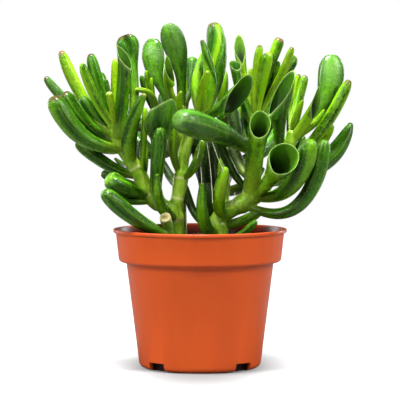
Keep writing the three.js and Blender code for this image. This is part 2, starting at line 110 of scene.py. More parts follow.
# %% [markdown]
# ## Camera and light
# The plant was seen from a little above, from far away with a long lens, so upright lines hardly
# lean. It stands in front of plain white. Narrow soft lights on both sides give the long pale streaks
# on the leaves, a large one above fills in the rest, and two weak strips behind draw thin bright
# edges. The white room is full white to the camera but lights the plant only a little, from behind.

# %% Camera
VIEW_POINT = Vector((0, -1.766, 0.216))
LOOKS_AT = Vector((0, 0, 0.1159))
FOCAL_SHARE = 6.39
SENSOR_MM = 36


def make_camera():
    data = bpy.data.cameras.new("camera")
    data.sensor_width = SENSOR_MM
    data.lens = SENSOR_MM * FOCAL_SHARE
    camera = bpy.data.objects.new("camera", data)
    camera.location = VIEW_POINT
    camera.rotation_euler = (LOOKS_AT - VIEW_POINT).to_track_quat("-Z", "Y").to_euler()
    bpy.context.scene.collection.objects.link(camera)
    bpy.context.scene.camera = camera
    return camera


camera = make_camera()
bpy.context.scene.view_settings.view_transform = "Standard"
print("lens in mm:", round(camera.data.lens, 1))

# %% Lights
LIT_POINT = Vector((0, 0, 0.12))


def soft_light(name, place, size, power):
    data = bpy.data.lights.new(name, "AREA")
    data.shape = "RECTANGLE"
    data.size, data.size_y = size
    data.energy = power
    lamp = bpy.data.objects.new(name, data)
    lamp.location = place
    lamp.rotation_euler = (LIT_POINT - Vector(place)).to_track_quat("-Z", "Y").to_euler()
    bpy.context.scene.collection.objects.link(lamp)


soft_light("left_softbox", (-1.1, -0.7, 0.9), (0.12, 0.7), 19)
soft_light("right_softbox", (1.1, -0.6, 0.95), (0.12, 0.7), 23)
soft_light("front_softbox", (-0.4, -1.8, 1.3), (0.35, 0.25), 16)
soft_light("back_left_strip", (-0.8, 0.9, 0.35), (0.1, 0.6), 4)
soft_light("back_right_strip", (0.8, 0.9, 0.35), (0.1, 0.6), 4)
soft_light("top_softbox", (-0.1, -0.3, 1.35), (0.35, 0.2), 56)


def white_room():
    """White to the camera. To the plant it is a little bright behind and dark in front."""
    world = bpy.data.worlds.new("white_room")
    world.use_nodes = True
    tree = world.node_tree
    tree.nodes.clear()
    way = wire(tree, "ShaderNodeTexCoord", out="Generated")
    behind = spread(wire(tree, "ShaderNodeSeparateXYZ", {0: way}, "Y"), -0.1, 0.6, 0.0, 0.11, "LINEAR")
    strength = maths("MAXIMUM", wire(tree, "ShaderNodeLightPath", out="Is Camera Ray"), behind)
    light = wire(tree, "ShaderNodeBackground", {"Color": (1, 1, 1, 1), "Strength": strength})
    node(tree, "ShaderNodeOutputWorld", {"Surface": light})
    bpy.context.scene.world = world


white_room()
print("lights:", len(bpy.data.lights))

# %% [markdown]
# ## Shaping pieces
# An operator works on whatever is selected, so each step first clears the selection and then picks
# its own object. A few short helpers do that, and they read and write a mesh's points.

# %% Selecting and editing
def pick(*objects):
    """Selects these objects only, and makes the first one active."""
    bpy.ops.object.select_all(action="DESELECT")
    for item in objects:
        item.select_set(True)
    bpy.context.view_layer.objects.active = objects[0]
    return objects[0]


def new_piece(name):
    """Names the object that an operator has just added."""
    piece = bpy.context.active_object
    piece.name = name
    piece.data.name = name
    return piece


def edit(piece):
    pick(piece)
    bpy.ops.object.mode_set(mode="EDIT")
    bpy.ops.mesh.select_mode(type="VERT")
    bpy.ops.mesh.select_all(action="SELECT")


def leave_edit():
    bpy.ops.object.mode_set(mode="OBJECT")


def settle_place(piece):
    """Moves the object's place, turn and size into its mesh."""
    pick(piece)
    bpy.ops.object.transform_apply(location=True, rotation=True, scale=True)
    return piece


def apply_modifier(piece, kind, **settings):
    pick(piece)
    modifier = piece.modifiers.new(kind.lower(), kind)
    for key, value in settings.items():
        setattr(modifier, key, value)
    bpy.ops.object.modifier_apply(modifier=modifier.name)


def cut(piece, cutter):
    """Cuts one closed shape out of another and throws the cutter away."""
    apply_modifier(piece, "BOOLEAN", object=cutter, operation="DIFFERENCE", solver="EXACT")
    bpy.data.objects.remove(cutter)


def joined(parts):
    pick(*parts)
    bpy.ops.object.join()
    return parts[0]


def smooth(piece, degrees):
    pick(piece)
    bpy.ops.object.shade_smooth_by_angle(angle=math.radians(degrees))


def smooth_all(piece):
    piece.data.polygons.foreach_set("use_smooth", [True] * len(piece.data.polygons))


def read_points(mesh):
    points = np.empty(len(mesh.vertices) * 3)
    mesh.vertices.foreach_get("co", points)
    return points.reshape(-1, 3)


def write_points(mesh, points):
    mesh.vertices.foreach_set("co", points.ravel())
    mesh.update()


def read_values(mesh, name):
    values = np.empty(len(mesh.vertices))
    mesh.attributes[name].data.foreach_get("value", values)
    return values


def write_values(mesh, name, values):
    """Stores one number for each point, or one vector, for the materials to read."""
    values = np.asarray(values, dtype=float)
    kind = "FLOAT" if values.ndim == 1 else "FLOAT_VECTOR"
    layer = mesh.attributes.new(name, kind, "POINT")
    layer.data.foreach_set("value" if kind == "FLOAT" else "vector", values.ravel())

# %% [markdown]
# ## Shared effects
# Three effects turn up in more than one finish: soft blotches of tone, small pale specks, and a fine
# uneven skin for the bump. Each is a node group that is built once. A group only puts out masks and
# heights, and the shader that uses them stays in the material.

# %% Blotches, specks and skin
def new_group(name, output, **numbers):
    """An empty node group that takes a place and some numbers. Gives the group and its wires."""
    tree = bpy.data.node_groups.new(name, "ShaderNodeTree")
    tree.interface.new_socket("Vector", in_out="INPUT", socket_type="NodeSocketVector")
    for label, default in numbers.items():
        socket = tree.interface.new_socket(label, in_out="INPUT", socket_type="NodeSocketFloat")
        socket.default_value = default
    tree.interface.new_socket(output, in_out="OUTPUT", socket_type="NodeSocketFloat")
    given = node(tree, "NodeGroupInput").outputs
    return tree, *[Wire(given[label]) for label in ("Vector", *numbers)]


def finish_group(tree, result):
    node(tree, "NodeGroupOutput", {0: result})
    return tree


def clouds(place, scale, detail, roughness=0.5):
    inputs = {"Vector": place, "Scale": scale, "Detail": detail, "Roughness": roughness}
    return wire(place.tree, "ShaderNodeTexNoise", inputs, "Fac")


def blotches_group():
    """A soft cloudy mask from 0 to 1."""
    tree, place, scale = new_group("blotches", "Mask", Scale=40.0)
    return finish_group(tree, spread(clouds(place, scale, 4.0, 0.55), 0.32, 0.68))


def specks_group():
    """Small round dots, some of them missing."""
    tree, place, scale, size = new_group("specks", "Mask", Scale=700.0, Size=0.2)
    cells = node(tree, "ShaderNodeTexVoronoi", {"Vector": place, "Scale": scale}).outputs
    dots = spread(Wire(cells["Distance"]), size, size * 0.4)
    chance = wire(tree, "ShaderNodeSeparateColor", {"Color": Wire(cells["Color"])})
    return finish_group(tree, dots * spread(chance, 0.35, 0.9))


def skin_group():
    """The height of a fine uneven skin."""
    tree, place, scale = new_group("fine_skin", "Height", Scale=900.0)
    return finish_group(tree, clouds(place, scale, 3.0) * 0.3 + clouds(place, scale * 0.22, 2.0))


BLOTCHES = blotches_group()
SPECKS = specks_group()
SKIN = skin_group()
print("shared effects:", BLOTCHES.name, SPECKS.name, SKIN.name)


# %% Material helpers
def pattern(group, place, scale, **numbers):
    """One of the shared effects, at a place and a scale."""
    inputs = {"Vector": place, "Scale": scale, **numbers}
    return wire(place.tree, "ShaderNodeGroup", inputs, node_tree=group)


def stretched(place, x, y, z):
    return wire(place.tree, "ShaderNodeMapping", {"Vector": place, "Scale": (x, y, z)})


def length_of(vector):
    return wire(vector.tree, "ShaderNodeVectorMath", {0: vector}, "Value", operation="LENGTH")


def height_of(place):
    return wire(place.tree, "ShaderNodeSeparateXYZ", {0: place}, "Z")


def stored(tree, name, out="Fac"):
    """What a mesh keeps for each of its points under a name."""
    return wire(tree, "ShaderNodeAttribute", out=out, attribute_name=name)


def bump(height, strength, depth):
    inputs = {"Strength": strength, "Distance": depth * MM, "Height": height}
    return wire(height.tree, "ShaderNodeBump", inputs)


def colour(red, green, blue):
    """A colour as it looks on screen, from 0 to 255, as the light values that the shaders need."""
    shares = [value / 255 for value in (red, green, blue)]
    linear = [s / 12.92 if s <= 0.04045 else ((s + 0.055) / 1.055) ** 2.4 for s in shares]
    return (*linear, 1)


def new_material(name):
    """An empty material, and the wire of the place on its object."""
    material = bpy.data.materials.new(name)
    material.use_nodes = True
    material.node_tree.nodes.clear()
    return material, wire(material.node_tree, "ShaderNodeTexCoord", out="Object")


def finish_material(material, inputs):
    shader = wire(material.node_tree, "ShaderNodeBsdfPrincipled", inputs)
    node(material.node_tree, "ShaderNodeOutputMaterial", {"Surface": shader})
    return material

# %% [markdown]
# ## The white table
# The plant stands on a plain white table top, where only a soft shadow near the pot's foot shows. To
# the camera only, the table glows with painted light, which fades out near the pot's foot and so paints
# that soft shadow. The plant isn't lit by that glow, so that the undersides of the leaves stay deep green.

# %% Table top
TABLE_HALF = 1.3
# The painted glow is missing inside this oval around the pot's foot and full outside it: a painted shadow.
PAINTED_GLOW_OVAL = (2.9, 1.15, 1)
PAINTED_GLOW_FROM = 0.05
PAINTED_GLOW_FULL = 0.22


def make_table():
    bpy.ops.mesh.primitive_grid_add(x_subdivisions=8, y_subdivisions=8, size=2 * TABLE_HALF)
    return settle_place(new_piece("white_table"))


def white_with_painted_glow():
    material, place = new_material("white_with_painted_glow")
    tint = mix(pattern(BLOTCHES, place, 3.0), (0.138, 0.138, 0.138, 1), (0.152, 0.152, 0.152, 1))
    # Painted glow for the camera only, faded out near the pot's foot as a painted shadow.
    far = spread(length_of(stretched(place, *PAINTED_GLOW_OVAL)), PAINTED_GLOW_FROM, PAINTED_GLOW_FULL)
    seen = wire(place.tree, "ShaderNodeLightPath", out="Is Camera Ray")
    painted_glow = mix(far * seen, (0, 0, 0, 1), (1, 1, 1, 1))
    return finish_material(material, {
        "Base Color": tint, "Roughness": 0.9, "Specular IOR Level": 0.1,
        "Emission Color": painted_glow, "Emission Strength": 1.0})


table = make_table()
table.data.materials.append(white_with_painted_glow())
print("table faces:", len(table.data.polygons))

# %% [markdown]
# ## The pot
# A plastic nursery pot is moulded in one piece: a thin lip, an upper band, a step, and a body that
# narrows to a rounded foot. Its outline is drawn as a chain of extruded points and spun about the
# upright axis. The room inside is spun the same way and cut out. The four drain notches and their
# holes are cut last, with small rounded boxes.

# %% Pot sizes
LIP_RADIUS = 60 * MM
POT_HEIGHT = 96 * MM
WALL = 1.4 * MM
FLOOR_THICK = 1.8 * MM
BAND_TOP_RADIUS = 58.3 * MM
BAND_BOTTOM_RADIUS = 56.3 * MM
BAND_BOTTOM_Z = 73.4 * MM
BODY_TOP_RADIUS = 51 * MM
BODY_BOTTOM_RADIUS = 42.4 * MM
FOOT_CORNER = 4.5 * MM
SPIN_STEPS = 144


def arc(centre, radius, start, end, steps):
    """Points on a round corner, with the angles in degrees."""
    angles = [math.radians(start + (end - start) * i / steps) for i in range(steps + 1)]
    return [(centre[0] + radius * math.cos(a), centre[1] + radius * math.sin(a)) for a in angles]


def pot_outside():
    """The outside of the pot as (radius, height), from the middle of its foot to its lip."""
    foot = (BODY_BOTTOM_RADIUS - FOOT_CORNER, FOOT_CORNER)
    step = 2.4 * MM
    ease = 1.1 * MM
    lip = 0.55 * MM
    return [
        (0, 0),
        *arc(foot, FOOT_CORNER, -90, -8, 8),
        (BODY_TOP_RADIUS - 0.1 * MM, BAND_BOTTOM_Z - ease),
        *arc((BODY_TOP_RADIUS + ease, BAND_BOTTOM_Z - ease), ease, 180, 90, 3)[1:],
        *arc((BAND_BOTTOM_RADIUS - step, BAND_BOTTOM_Z + step), step, -90, -5, 6),
        (BAND_TOP_RADIUS - 0.1 * MM, POT_HEIGHT - 3.4 * MM),
        (BAND_TOP_RADIUS + 0.3 * MM, POT_HEIGHT - 2.2 * MM),
        *arc((LIP_RADIUS - lip, POT_HEIGHT - 1.1 * MM - lip), lip, -60, 0, 3),
        *arc((LIP_RADIUS - lip, POT_HEIGHT - lip), lip, 0, 90, 4),
        (BAND_TOP_RADIUS - WALL + 0.8 * MM, POT_HEIGHT),
        (0, POT_HEIGHT),
    ]


def pot_room(top):
    """The room inside the pot, up to a given height."""
    floor_edge = BODY_BOTTOM_RADIUS - WALL
    step = BAND_BOTTOM_Z + WALL
    band = BAND_BOTTOM_RADIUS - WALL
    return [
        (0, FLOOR_THICK),
        *arc((floor_edge - 3 * MM, FLOOR_THICK + 3 * MM), 3 * MM, -90, -8, 5),
        (BODY_TOP_RADIUS - WALL, step),
        (band - 1.5 * MM, step + 0.3 * MM),
        (band, step + 2 * MM),
        (BAND_TOP_RADIUS - WALL, POT_HEIGHT - 0.9 * MM),
        (BAND_TOP_RADIUS - WALL + 0.6 * MM, POT_HEIGHT + 0.01 * MM),
        (BAND_TOP_RADIUS - WALL + 0.6 * MM, top),
        (0, top),
    ]

# %% Spinning an outline
def spun(name, outline, steps=SPIN_STEPS):
    """Draws an outline point by point and spins it into a closed solid."""
    bpy.ops.mesh.primitive_plane_add(size=1 * MM)
    piece = new_piece(name)
    edit(piece)
    bpy.ops.mesh.merge(type="CENTER")
    bpy.ops.transform.translate(value=(outline[0][0], 0, outline[0][1]))
    for (r0, z0), (r1, z1) in zip(outline, outline[1:]):
        move = (r1 - r0, 0, z1 - z0)
        bpy.ops.mesh.extrude_region_move(TRANSFORM_OT_translate={"value": move})
    bpy.ops.mesh.select_all(action="SELECT")
    bpy.ops.mesh.spin(steps=steps, angle=2 * math.pi, center=(0, 0, 0), axis=(0, 0, 1))
    bpy.ops.mesh.select_all(action="SELECT")
    bpy.ops.mesh.remove_doubles(threshold=0.005 * MM)
    bpy.ops.mesh.normals_make_consistent(inside=False)
    leave_edit()
    return piece

# %% Notches and holes
NOTCH_COUNT = 4
NOTCH_WIDTH = 14 * MM
NOTCH_HEIGHT = 6 * MM
NOTCH_REACH = 7 * MM
NOTCH_SET_OUT = 0.8 * MM
DRAIN_RADIUS = 3 * MM


NOTCH_ANGLES = [math.pi / 4 + i * 2 * math.pi / NOTCH_COUNT for i in range(NOTCH_COUNT)]


def notch_block(grow):
    """Four rounded blocks around the foot, joined as one cutter."""
    blocks = []
    for angle in NOTCH_ANGLES:
        bpy.ops.mesh.primitive_cube_add(size=1)
        block = new_piece("notch_block")
        block.scale = (2 * NOTCH_REACH + 2 * grow, NOTCH_WIDTH + 2 * grow, 2 * NOTCH_HEIGHT + 2 * grow)
        block.location = (BODY_BOTTOM_RADIUS + NOTCH_SET_OUT, 0, 0)
        settle_place(block)
        apply_modifier(block, "BEVEL", width=0.5 * MM + grow, segments=3)
        block.rotation_euler = (0, 0, angle)
        blocks.append(settle_place(block))
    return joined(blocks)


def drain_block():
    """Four round bars where the drain holes go through the notches' ceilings."""
    bars = []
    reach = BODY_BOTTOM_RADIUS - NOTCH_REACH + DRAIN_RADIUS
    for angle in NOTCH_ANGLES:
        place = (reach * math.cos(angle), reach * math.sin(angle), NOTCH_HEIGHT + 1 * MM)
        bpy.ops.mesh.primitive_cylinder_add(
            vertices=32, radius=DRAIN_RADIUS, depth=2 * NOTCH_HEIGHT, location=place)
        bars.append(settle_place(new_piece("drain_bar")))
    return joined(bars)


def make_pot():
    pot = spun("nursery_pot", pot_outside())
    room = spun("pot_room", pot_room(POT_HEIGHT + 4 * MM))
    cut(room, notch_block(WALL))
    cut(pot, room)
    cut(pot, notch_block(0))
    cut(pot, drain_block())
    smooth(pot, 35)
    return pot


pot = make_pot()
print("pot faces:", len(pot.data.polygons))

# %% [markdown]
# ### Pot plastic
# The plastic is satin and evenly coloured, but never quite flat: the melt leaves faint upright flow
# bands and small pale specks, and the lip is a little darker. Inside, the wall is stained by wet mix and
# darkened with painted shade towards the mix, and painted shade darkens what shows inside the notches.

# %% Pot material
SOIL_EDGE_Z = 87 * MM


def stain_and_painted_shade_inside(tone, height, radius):
    """Wet stain and painted shade on the inner wall above the mix, and painted shade in the notches."""
    lean = (BAND_TOP_RADIUS - BAND_BOTTOM_RADIUS) / (POT_HEIGHT - BAND_BOTTOM_Z)
    wall_middle = (height - BAND_BOTTOM_Z) * lean + (BAND_BOTTOM_RADIUS - WALL / 2)
    inner = spread(wall_middle - radius, 0, 0.2 * MM)
    upper = spread(height, BAND_BOTTOM_Z + 4 * MM, BAND_BOTTOM_Z + 6 * MM)
    below_lip = spread(height, POT_HEIGHT - 0.4 * MM, POT_HEIGHT - 1.4 * MM)
    # Wet stain and painted shade: the inner wall darkens towards the mix.
    wet_stain_and_painted_shade = spread(height, POT_HEIGHT - 1 * MM, SOIL_EDGE_Z + 2 * MM)
    tone = mix(inner * upper * below_lip, tone, mix(wet_stain_and_painted_shade, colour(112, 34, 14), colour(44, 18, 10)))
    # Painted shade on what shows deep inside the notches, low in the foot.
    deep = spread(radius, BODY_BOTTOM_RADIUS - 1.5 * MM, BODY_BOTTOM_RADIUS - 4 * MM)
    low = spread(height, NOTCH_HEIGHT + 2 * MM, NOTCH_HEIGHT + 1 * MM)
    return mix(deep * low, tone, colour(40, 16, 10))


def terracotta_plastic():
    material, place = new_material("terracotta_plastic")
    height = height_of(place)
    flat = wire(place.tree, "ShaderNodeVectorMath", {0: place, 1: (1, 1, 0)}, operation="MULTIPLY")
    radius = length_of(flat)
    bands = pattern(BLOTCHES, stretched(place, 1, 1, 0.12), 60.0)
    cloud = pattern(BLOTCHES, place, 28.0)
    tone = mix(bands, colour(201, 79, 15), colour(193, 74, 15))
    tone = mix(cloud * 0.3, tone, colour(206, 80, 26))
    tone = mix(pattern(SPECKS, place, 420.0, Size=0.14) * 0.12, tone, colour(235, 180, 150))
    lip = spread(height, POT_HEIGHT - 1.8 * MM, POT_HEIGHT - 0.8 * MM)
    tone = mix(lip * 0.75, tone, colour(150, 56, 22))
    return finish_material(material, {
        "Base Color": stain_and_painted_shade_inside(tone, height, radius), "Roughness": spread(cloud, 0, 1, 0.34, 0.42),
        "Normal": bump(pattern(SKIN, place, 1500.0), 0.12, 0.15),
        "Specular IOR Level": 0.3, "Subsurface Weight": 0.06,
        "Subsurface Radius": (0.004, 0.0015, 0.001), "Subsurface Scale": 0.5})


pot.data.materials.append(terracotta_plastic())
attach(pot, BODY)
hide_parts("pot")

# %% [markdown]
# ## Potting mix
# The mix is dark, damp and crumbly, and it fills the pot nearly to the lip. Its body is spun like the
# pot, and its top is roughened with a slow and a fast noise. Crumbs of several sizes are scattered on
# it: one small lump is modelled and copied. Some of the crumbs are dry, and paler than the rest.

# %% Soil body
SOIL_CROWN_Z = 90 * MM
SOIL_RADIUS = 55.9 * MM


def soil_height(radius):
    """How high the mix stands at a distance from the axis."""
    share = min(radius / SOIL_RADIUS, 1)
    return SOIL_CROWN_Z + (SOIL_EDGE_Z - SOIL_CROWN_Z) * share ** 2


def soil_outline():
    gap = 0.3 * MM
    rings = 40
    top = [SOIL_RADIUS * (1 - i / rings) for i in range(rings + 1)]
    return [
        (0, FLOOR_THICK + gap),
        (BODY_BOTTOM_RADIUS - WALL - 3 * MM, FLOOR_THICK + gap),
        (BODY_BOTTOM_RADIUS - WALL - gap, FLOOR_THICK + 3 * MM),
        (BODY_TOP_RADIUS - WALL - gap, BAND_BOTTOM_Z + WALL + gap),
        (BAND_BOTTOM_RADIUS - WALL - 1.8 * MM, BAND_BOTTOM_Z + WALL + 2 * gap),
        *[(r, soil_height(r)) for r in top],
    ]


def make_soil():
    soil = spun("potting_mix", soil_outline(), 120)
    cut(soil, notch_block(WALL + 0.3 * MM))
    points = read_points(soil.data)
    for i, (x, y, z) in enumerate(points):
        if z > SOIL_EDGE_Z - 0.5 * MM:
            lumps = noise.noise(Vector((x, y, 0)) * 160) + 0.6 * noise.noise(Vector((x, y, 1)) * 420)
            points[i, 2] += lumps * 1.0 * MM
    write_points(soil.data, points)
    smooth(soil, 70)
    return soil


soil = make_soil()

# %% Crumbs
CRUMB_COUNT = 1900


def crumb_blank():
    """A small lump with a few dozen faces."""
    bpy.ops.mesh.primitive_ico_sphere_add(subdivisions=1, radius=1)
    blank = new_piece("crumb_blank")
    points = read_points(blank.data)
    for i, point in enumerate(points):
        points[i] *= 0.8 + 0.5 * noise.noise(Vector(point) * 2.3)
    write_points(blank.data, points)
    return blank


def make_crumbs():
    blank = crumb_blank()
    shape = read_points(blank.data)
    corners = np.array([tuple(face.vertices) for face in blank.data.polygons])
    chance = np.random.default_rng(7)
    all_points = []
    all_faces = []
    all_tones = []
    for k in range(CRUMB_COUNT):
        radius = (SOIL_RADIUS - 0.8 * MM) * math.sqrt(chance.random())
        angle = chance.random() * 2 * math.pi
        size = (0.45 + 1.2 * chance.random() ** 3) * MM
        turn = Matrix.Rotation(chance.random() * 6.28, 3, Vector(chance.normal(size=3)).normalized())
        stretch = np.array([1 + 0.5 * chance.random(), 1, 0.7])
        place = (radius * math.cos(angle), radius * math.sin(angle), soil_height(radius) + 0.3 * size)
        all_points.append((shape * stretch) @ np.array(turn).T * size + place)
        all_faces.append(corners + k * len(shape))
        all_tones.append(np.full(len(shape), chance.random() ** 2))
    mesh = bpy.data.meshes.new("soil_crumbs")
    mesh.from_pydata(np.concatenate(all_points).tolist(), [], np.concatenate(all_faces).tolist())
    write_values(mesh, "lump", np.concatenate(all_tones))
    bpy.data.objects.remove(blank)
    crumbs = bpy.data.objects.new("soil_crumbs", mesh)
    bpy.context.scene.collection.objects.link(crumbs)
    return crumbs


crumbs = make_crumbs()
print("crumb faces:", len(crumbs.data.polygons))

# %% Soil material
def damp_mix():
    material, place = new_material("damp_mix")
    clods = pattern(BLOTCHES, place, 260.0)
    fibres = pattern(BLOTCHES, place, 1400.0)
    bits = pattern(SPECKS, place, 500.0, Size=0.25)
    tone = mix(clods, colour(28, 19, 14), colour(58, 40, 28))
    tone = mix(fibres * 0.5, tone, colour(82, 56, 36))
    tone = mix(bits * 0.35, tone, colour(140, 104, 70))
    tone = mix(stored(place.tree, "lump") * 0.7, tone, colour(150, 118, 84))
    return finish_material(material, {
        "Base Color": tone, "Roughness": spread(clods, 0, 1, 0.75, 0.95),
        "Normal": bump(clods + fibres, 0.8, 0.5), "Specular IOR Level": 0.25})


DAMP_MIX = damp_mix()
for piece in (soil, crumbs):
    piece.data.materials.append(DAMP_MIX)
    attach(piece, BODY)
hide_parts("soil")

# %% [markdown]
# ## Where the stems run
# A stem is a smooth line through a few points, thick at its foot and thinner at its end. Each row
# holds those points and the radius at the foot and at the end, in millimetres. The line is the same
# one that the CAD model uses, so every leaf finds its stem where the frame has it.

# %% Stem lines
STEMS = {
    "trunk_front": ([(-15, -8, 78), (-16, -8, 95), (-16.5, -8, 103), (-17, -8, 110), (-15, -7, 120),
                     (-13, -6, 132), (-11.5, -5, 145), (-9, -3, 156), (-4, -1, 168), (3, 0, 178)],
                    (4.4, 3.4)),
    "branch_left": ([(-17, -8, 108), (-25, -9, 112), (-33, -10, 118), (-38, -11, 126), (-42, -12, 135),
                     (-47, -13, 143), (-53, -15, 152), (-57, -16, 159), (-59, -17, 167)], (4.6, 2.9)),
    "trunk_right": ([(12, -6, 78), (12, -6, 97), (14, -6, 104), (20, -6, 109), (28, -6, 113),
                     (35, -6, 117)], (5.6, 4.8)),
    "branch_middle": ([(35, -6, 117), (36, -3, 128), (37, -1, 145), (38, 0, 160), (39, 1, 174)], (4.4, 3)),
    "branch_right": ([(35, -6, 117), (44, -8, 125), (52, -9, 138), (58, -10, 147), (62, -10, 156),
                      (64, -10, 164)], (4.4, 2.9)),
    "trunk_back_left": ([(-13, 16, 78), (-14, 18, 100), (-14, 18, 125), (-13, 17, 145), (-14, 14, 165),
                         (-14, 12, 182)], (4.4, 3.2)),
    "branch_back_left": ([(-13, 17, 140), (-19, 21, 152), (-27, 20, 162), (-31, 16, 175)], (3.8, 2.8)),
    "trunk_back_right": ([(14, 18, 78), (15, 24, 105), (16, 30, 125), (18, 36, 145), (22, 40, 163)],
                         (4.8, 3.2)),
    "cut_stub": ([(-20, -20, 78), (-21.5, -23, 96), (-24, -28, 106)], (4.2, 3.8)),
}


def stem_point(points, share):
    """A point on the smooth line through the given points, at a share of its run."""
    last = len(points) - 1
    part = min(int(share * last), last - 1)
    w = share * last - part
    p1, p2 = points[part], points[part + 1]
    p0 = points[part - 1] if part > 0 else 2 * p1 - p2
    p3 = points[part + 2] if part + 2 <= last else 2 * p2 - p1
    d0, d1, d2 = [math.sqrt(np.linalg.norm(b - a)) for a, b in ((p0, p1), (p1, p2), (p2, p3))]
    m1 = ((p1 - p0) / d0 - (p2 - p0) / (d0 + d1) + (p2 - p1) / d1) * d1
    m2 = ((p2 - p1) / d1 - (p3 - p1) / (d1 + d2) + (p3 - p2) / d2) * d1
    return p1 + m1 * w + (3 * (p2 - p1) - 2 * m1 - m2) * w ** 2 + (2 * (p1 - p2) + m1 + m2) * w ** 3


def smooth_line(points, count):
    knots = np.array(points, dtype=float)
    return np.array([stem_point(knots, i / count) for i in range(count + 1)])


def stem_line(name, count=60):
    """Points along a stem, in millimetres."""
    return smooth_line(STEMS[name][0], count)


print("stems:", len(STEMS))

# %% [markdown]
# ## Where the leaves grow
# Each row is one leaf on the stem named above it: its kind and its width, then the base, the bend and
# the tip of its middle line as seen from the front, on the upright plane through the pot's axis, and
# how far the bend and the tip stand to the front (-) or the back (+). Measures are millimetres. A
# look and a tip, plain if none is named, say how young, waxy and blushed the leaf is. What follows
# with an equals sign is that leaf's own shape.
# The small leaves between the big ones aren't in the CAD model.

# %% Leaf rows
FRAMED_LEAVES = """
branch_left
club    13.8 -53 152     -85.5 150.5 -101.5 187.5 -26 -34 mid brown plump=1.12
club    12   -56 156     -77 160     -94 190.5    -10 -14 dark brown
finger  6.4  -56 157     -88 175     -107 201     -2 -4   waxy brown plump=1.15
finger  7.6  -57 160     -80 176     -96 219      0 2     lime ring plump=1.2
finger  7.2  -59 167     -73 182     -81.5 210.5  -26 -30 fresh
funnel  7.8  -58 164     -70 190     -75.5 217    -16 -14 dark brown drawn=finger plump=1.15
trumpet 9    -57 160     -52 188     -52.5 219.5  -28 -34 mid brown
+ slant=0.55 faces=0.85,-0.5,0 dip=0.3 plump=1.18 pinch=0.1,0.75
hood    15.6 -50 148     -40 194     -52 230      -6 -8   dark_head brown
+ faces=0.3,-0.95,0 drawn=head groove=1.1 plump=1.02
horn    9.6  -48 144     -53 163     -38 189.5    -30 -42 mid pink plump=1.14
hood    20.5 -31 117     -29 158     -25 183      -28 -34 dark
+ slant=0.4 faces=-0.55,0.75,0.3 dip=0.1 plump=1.12 pinch=0.1,0.5
club    10.4 -41 133     -60 134     -85.5 156.5  -10 -10 mid
funnel  15.5 -35 120.5   -50 121     -63.5 131    -20 -30 mid drawn=club faces=-0.3,-0.6,0.8 groove=0.55
cut_stub
club    12   -21 94      -41 96      -67 122      -32 -44 dark plump=1.1
trunk_front
horn    8.4  -17 104     -31 106     -29.5 134    -26 -40 mid
club    13.4 3 177       17 198      9 238.5      6 8     stripe brown
horn    9.5  3 176       12 200      1 226.5      -8 -6   mid brown
horn    9    1 175       -6 195      3 219        2 4     fresh
horn    10.5 1 174       0 191       5.5 205      -14 -22 lime pink plump=0.76
cup     15.5 0 171       16 177      33 194       -20 -32 mid
+ slant=0.7 faces=0.65,-0.75,-0.1 dip=0.5 pinch=0.35,0.1 plump=1.05
trunk_back_left
spoon   16.8 -13 178     -9.5 207    -23 237.5    6 0     waxy faces=0.3,0.9,0.2 plump=0.98
spoon   14.5 -14 176     -34 196     -32.5 227.5  14 20   waxy faces=0.4,0.9,0.2 plump=1.1
club    9    -13 176     -3 196      -6 214.5     26 32   dark
trunk_right
horn    9.6  11 94       -1 90       1.4 128      -28 -34 mid
finger  8.2  30 114      4 91        17.8 139     -22 -32 fresh plump=1.1
club    12   30 114      76 87       86.5 158     -20 -28 dark plump=1.05
branch_middle
club    20.4 37 150      14 164      -16 171.5    -26 -56 waxy
club    7.8  36 120      22 132      12.5 158     -4 -8   dark
trumpet 14   35 119      37 145      42.3 171     -20 -40 fresh_stalk
+ slant=0.4 faces=0.1,-1,0.1 pinch=0.1,0.1
trumpet 7.4  37 170      28 200      27 228.5     4 4     lime
+ slant=0.4 faces=0.1,-1,0 dip=2.0 pinch=0.8,0.1 plump=1.0
trumpet 8.2  39 172      45 203      55.5 227.5   2 -2    fresh ring
+ drawn=ringed faces=-0.2,-0.4,0.9 plump=0.96
club    8.2  39 171      42 195      47.5 218     -8 -12  fresh pink
finger  6    40 173      56 198      63.7 221.5   -2 -8   lime brown
club    10.5 39 171      51 194      65.5 215.5   12 14   mid
branch_right
funnel  20.5 38 119      47 125      58.4 146     -22 -54 fresh_stalk
+ slant=0.2 faces=0,-1,0.2 pinch=0.3,0 drawn=bell plump=0.94
club    12.6 37 118.5    68 112      76 158       -24 -42 mid plump=1.18
horn    13.8 48 131      91 131      104.5 169.5  -2 4    dark drawn=pointed plump=1.2
spoon   16.6 63 158      93 178      90.5 216.5   -4 2    waxy faces=-0.2,0.9,0.2 plump=1.08
club    8.2  52 138      80 147      103.2 199    -10 -10 fresh brown plump=1.2
trumpet 8.4  63 158      76 172      83.8 190     -14 -20 lime brown
+ slant=0.5 faces=0.7,-0.7,-0.2 dip=1.6 pinch=0.8,0.6
cup     17.5 55 143      53 170      57 198       -24 -36 mid
+ slant=0.75 faces=-0.95,-0.3,0.1 dip=0.2 pinch=0.3,0 plump=1.05
branch_back_left
club    12   -18 150     -34 140     -46 162      40 52   dark
club    12   -27 162     -46 162     -56 190      26 34   mid brown
horn    10   -22 155     -28 156     -34 178      44 66   dark pink
trunk_back_left
club    12   -13 140     -8 150      -6 178       38 62   dark brown
trunk_back_right
club    13   17 138      38 140      54 164       54 72   mid
funnel  13   22 160      18 170      8 190        54 68   mid slant=0.3 faces=0,0.4,0.9
club    12   22 160      36 170      40 198       40 42   waxy brown
club    11   15 112      4 120       5 157        22 20   dark
club    12   16 125      20 128      14 156       52 80   dark brown
"""

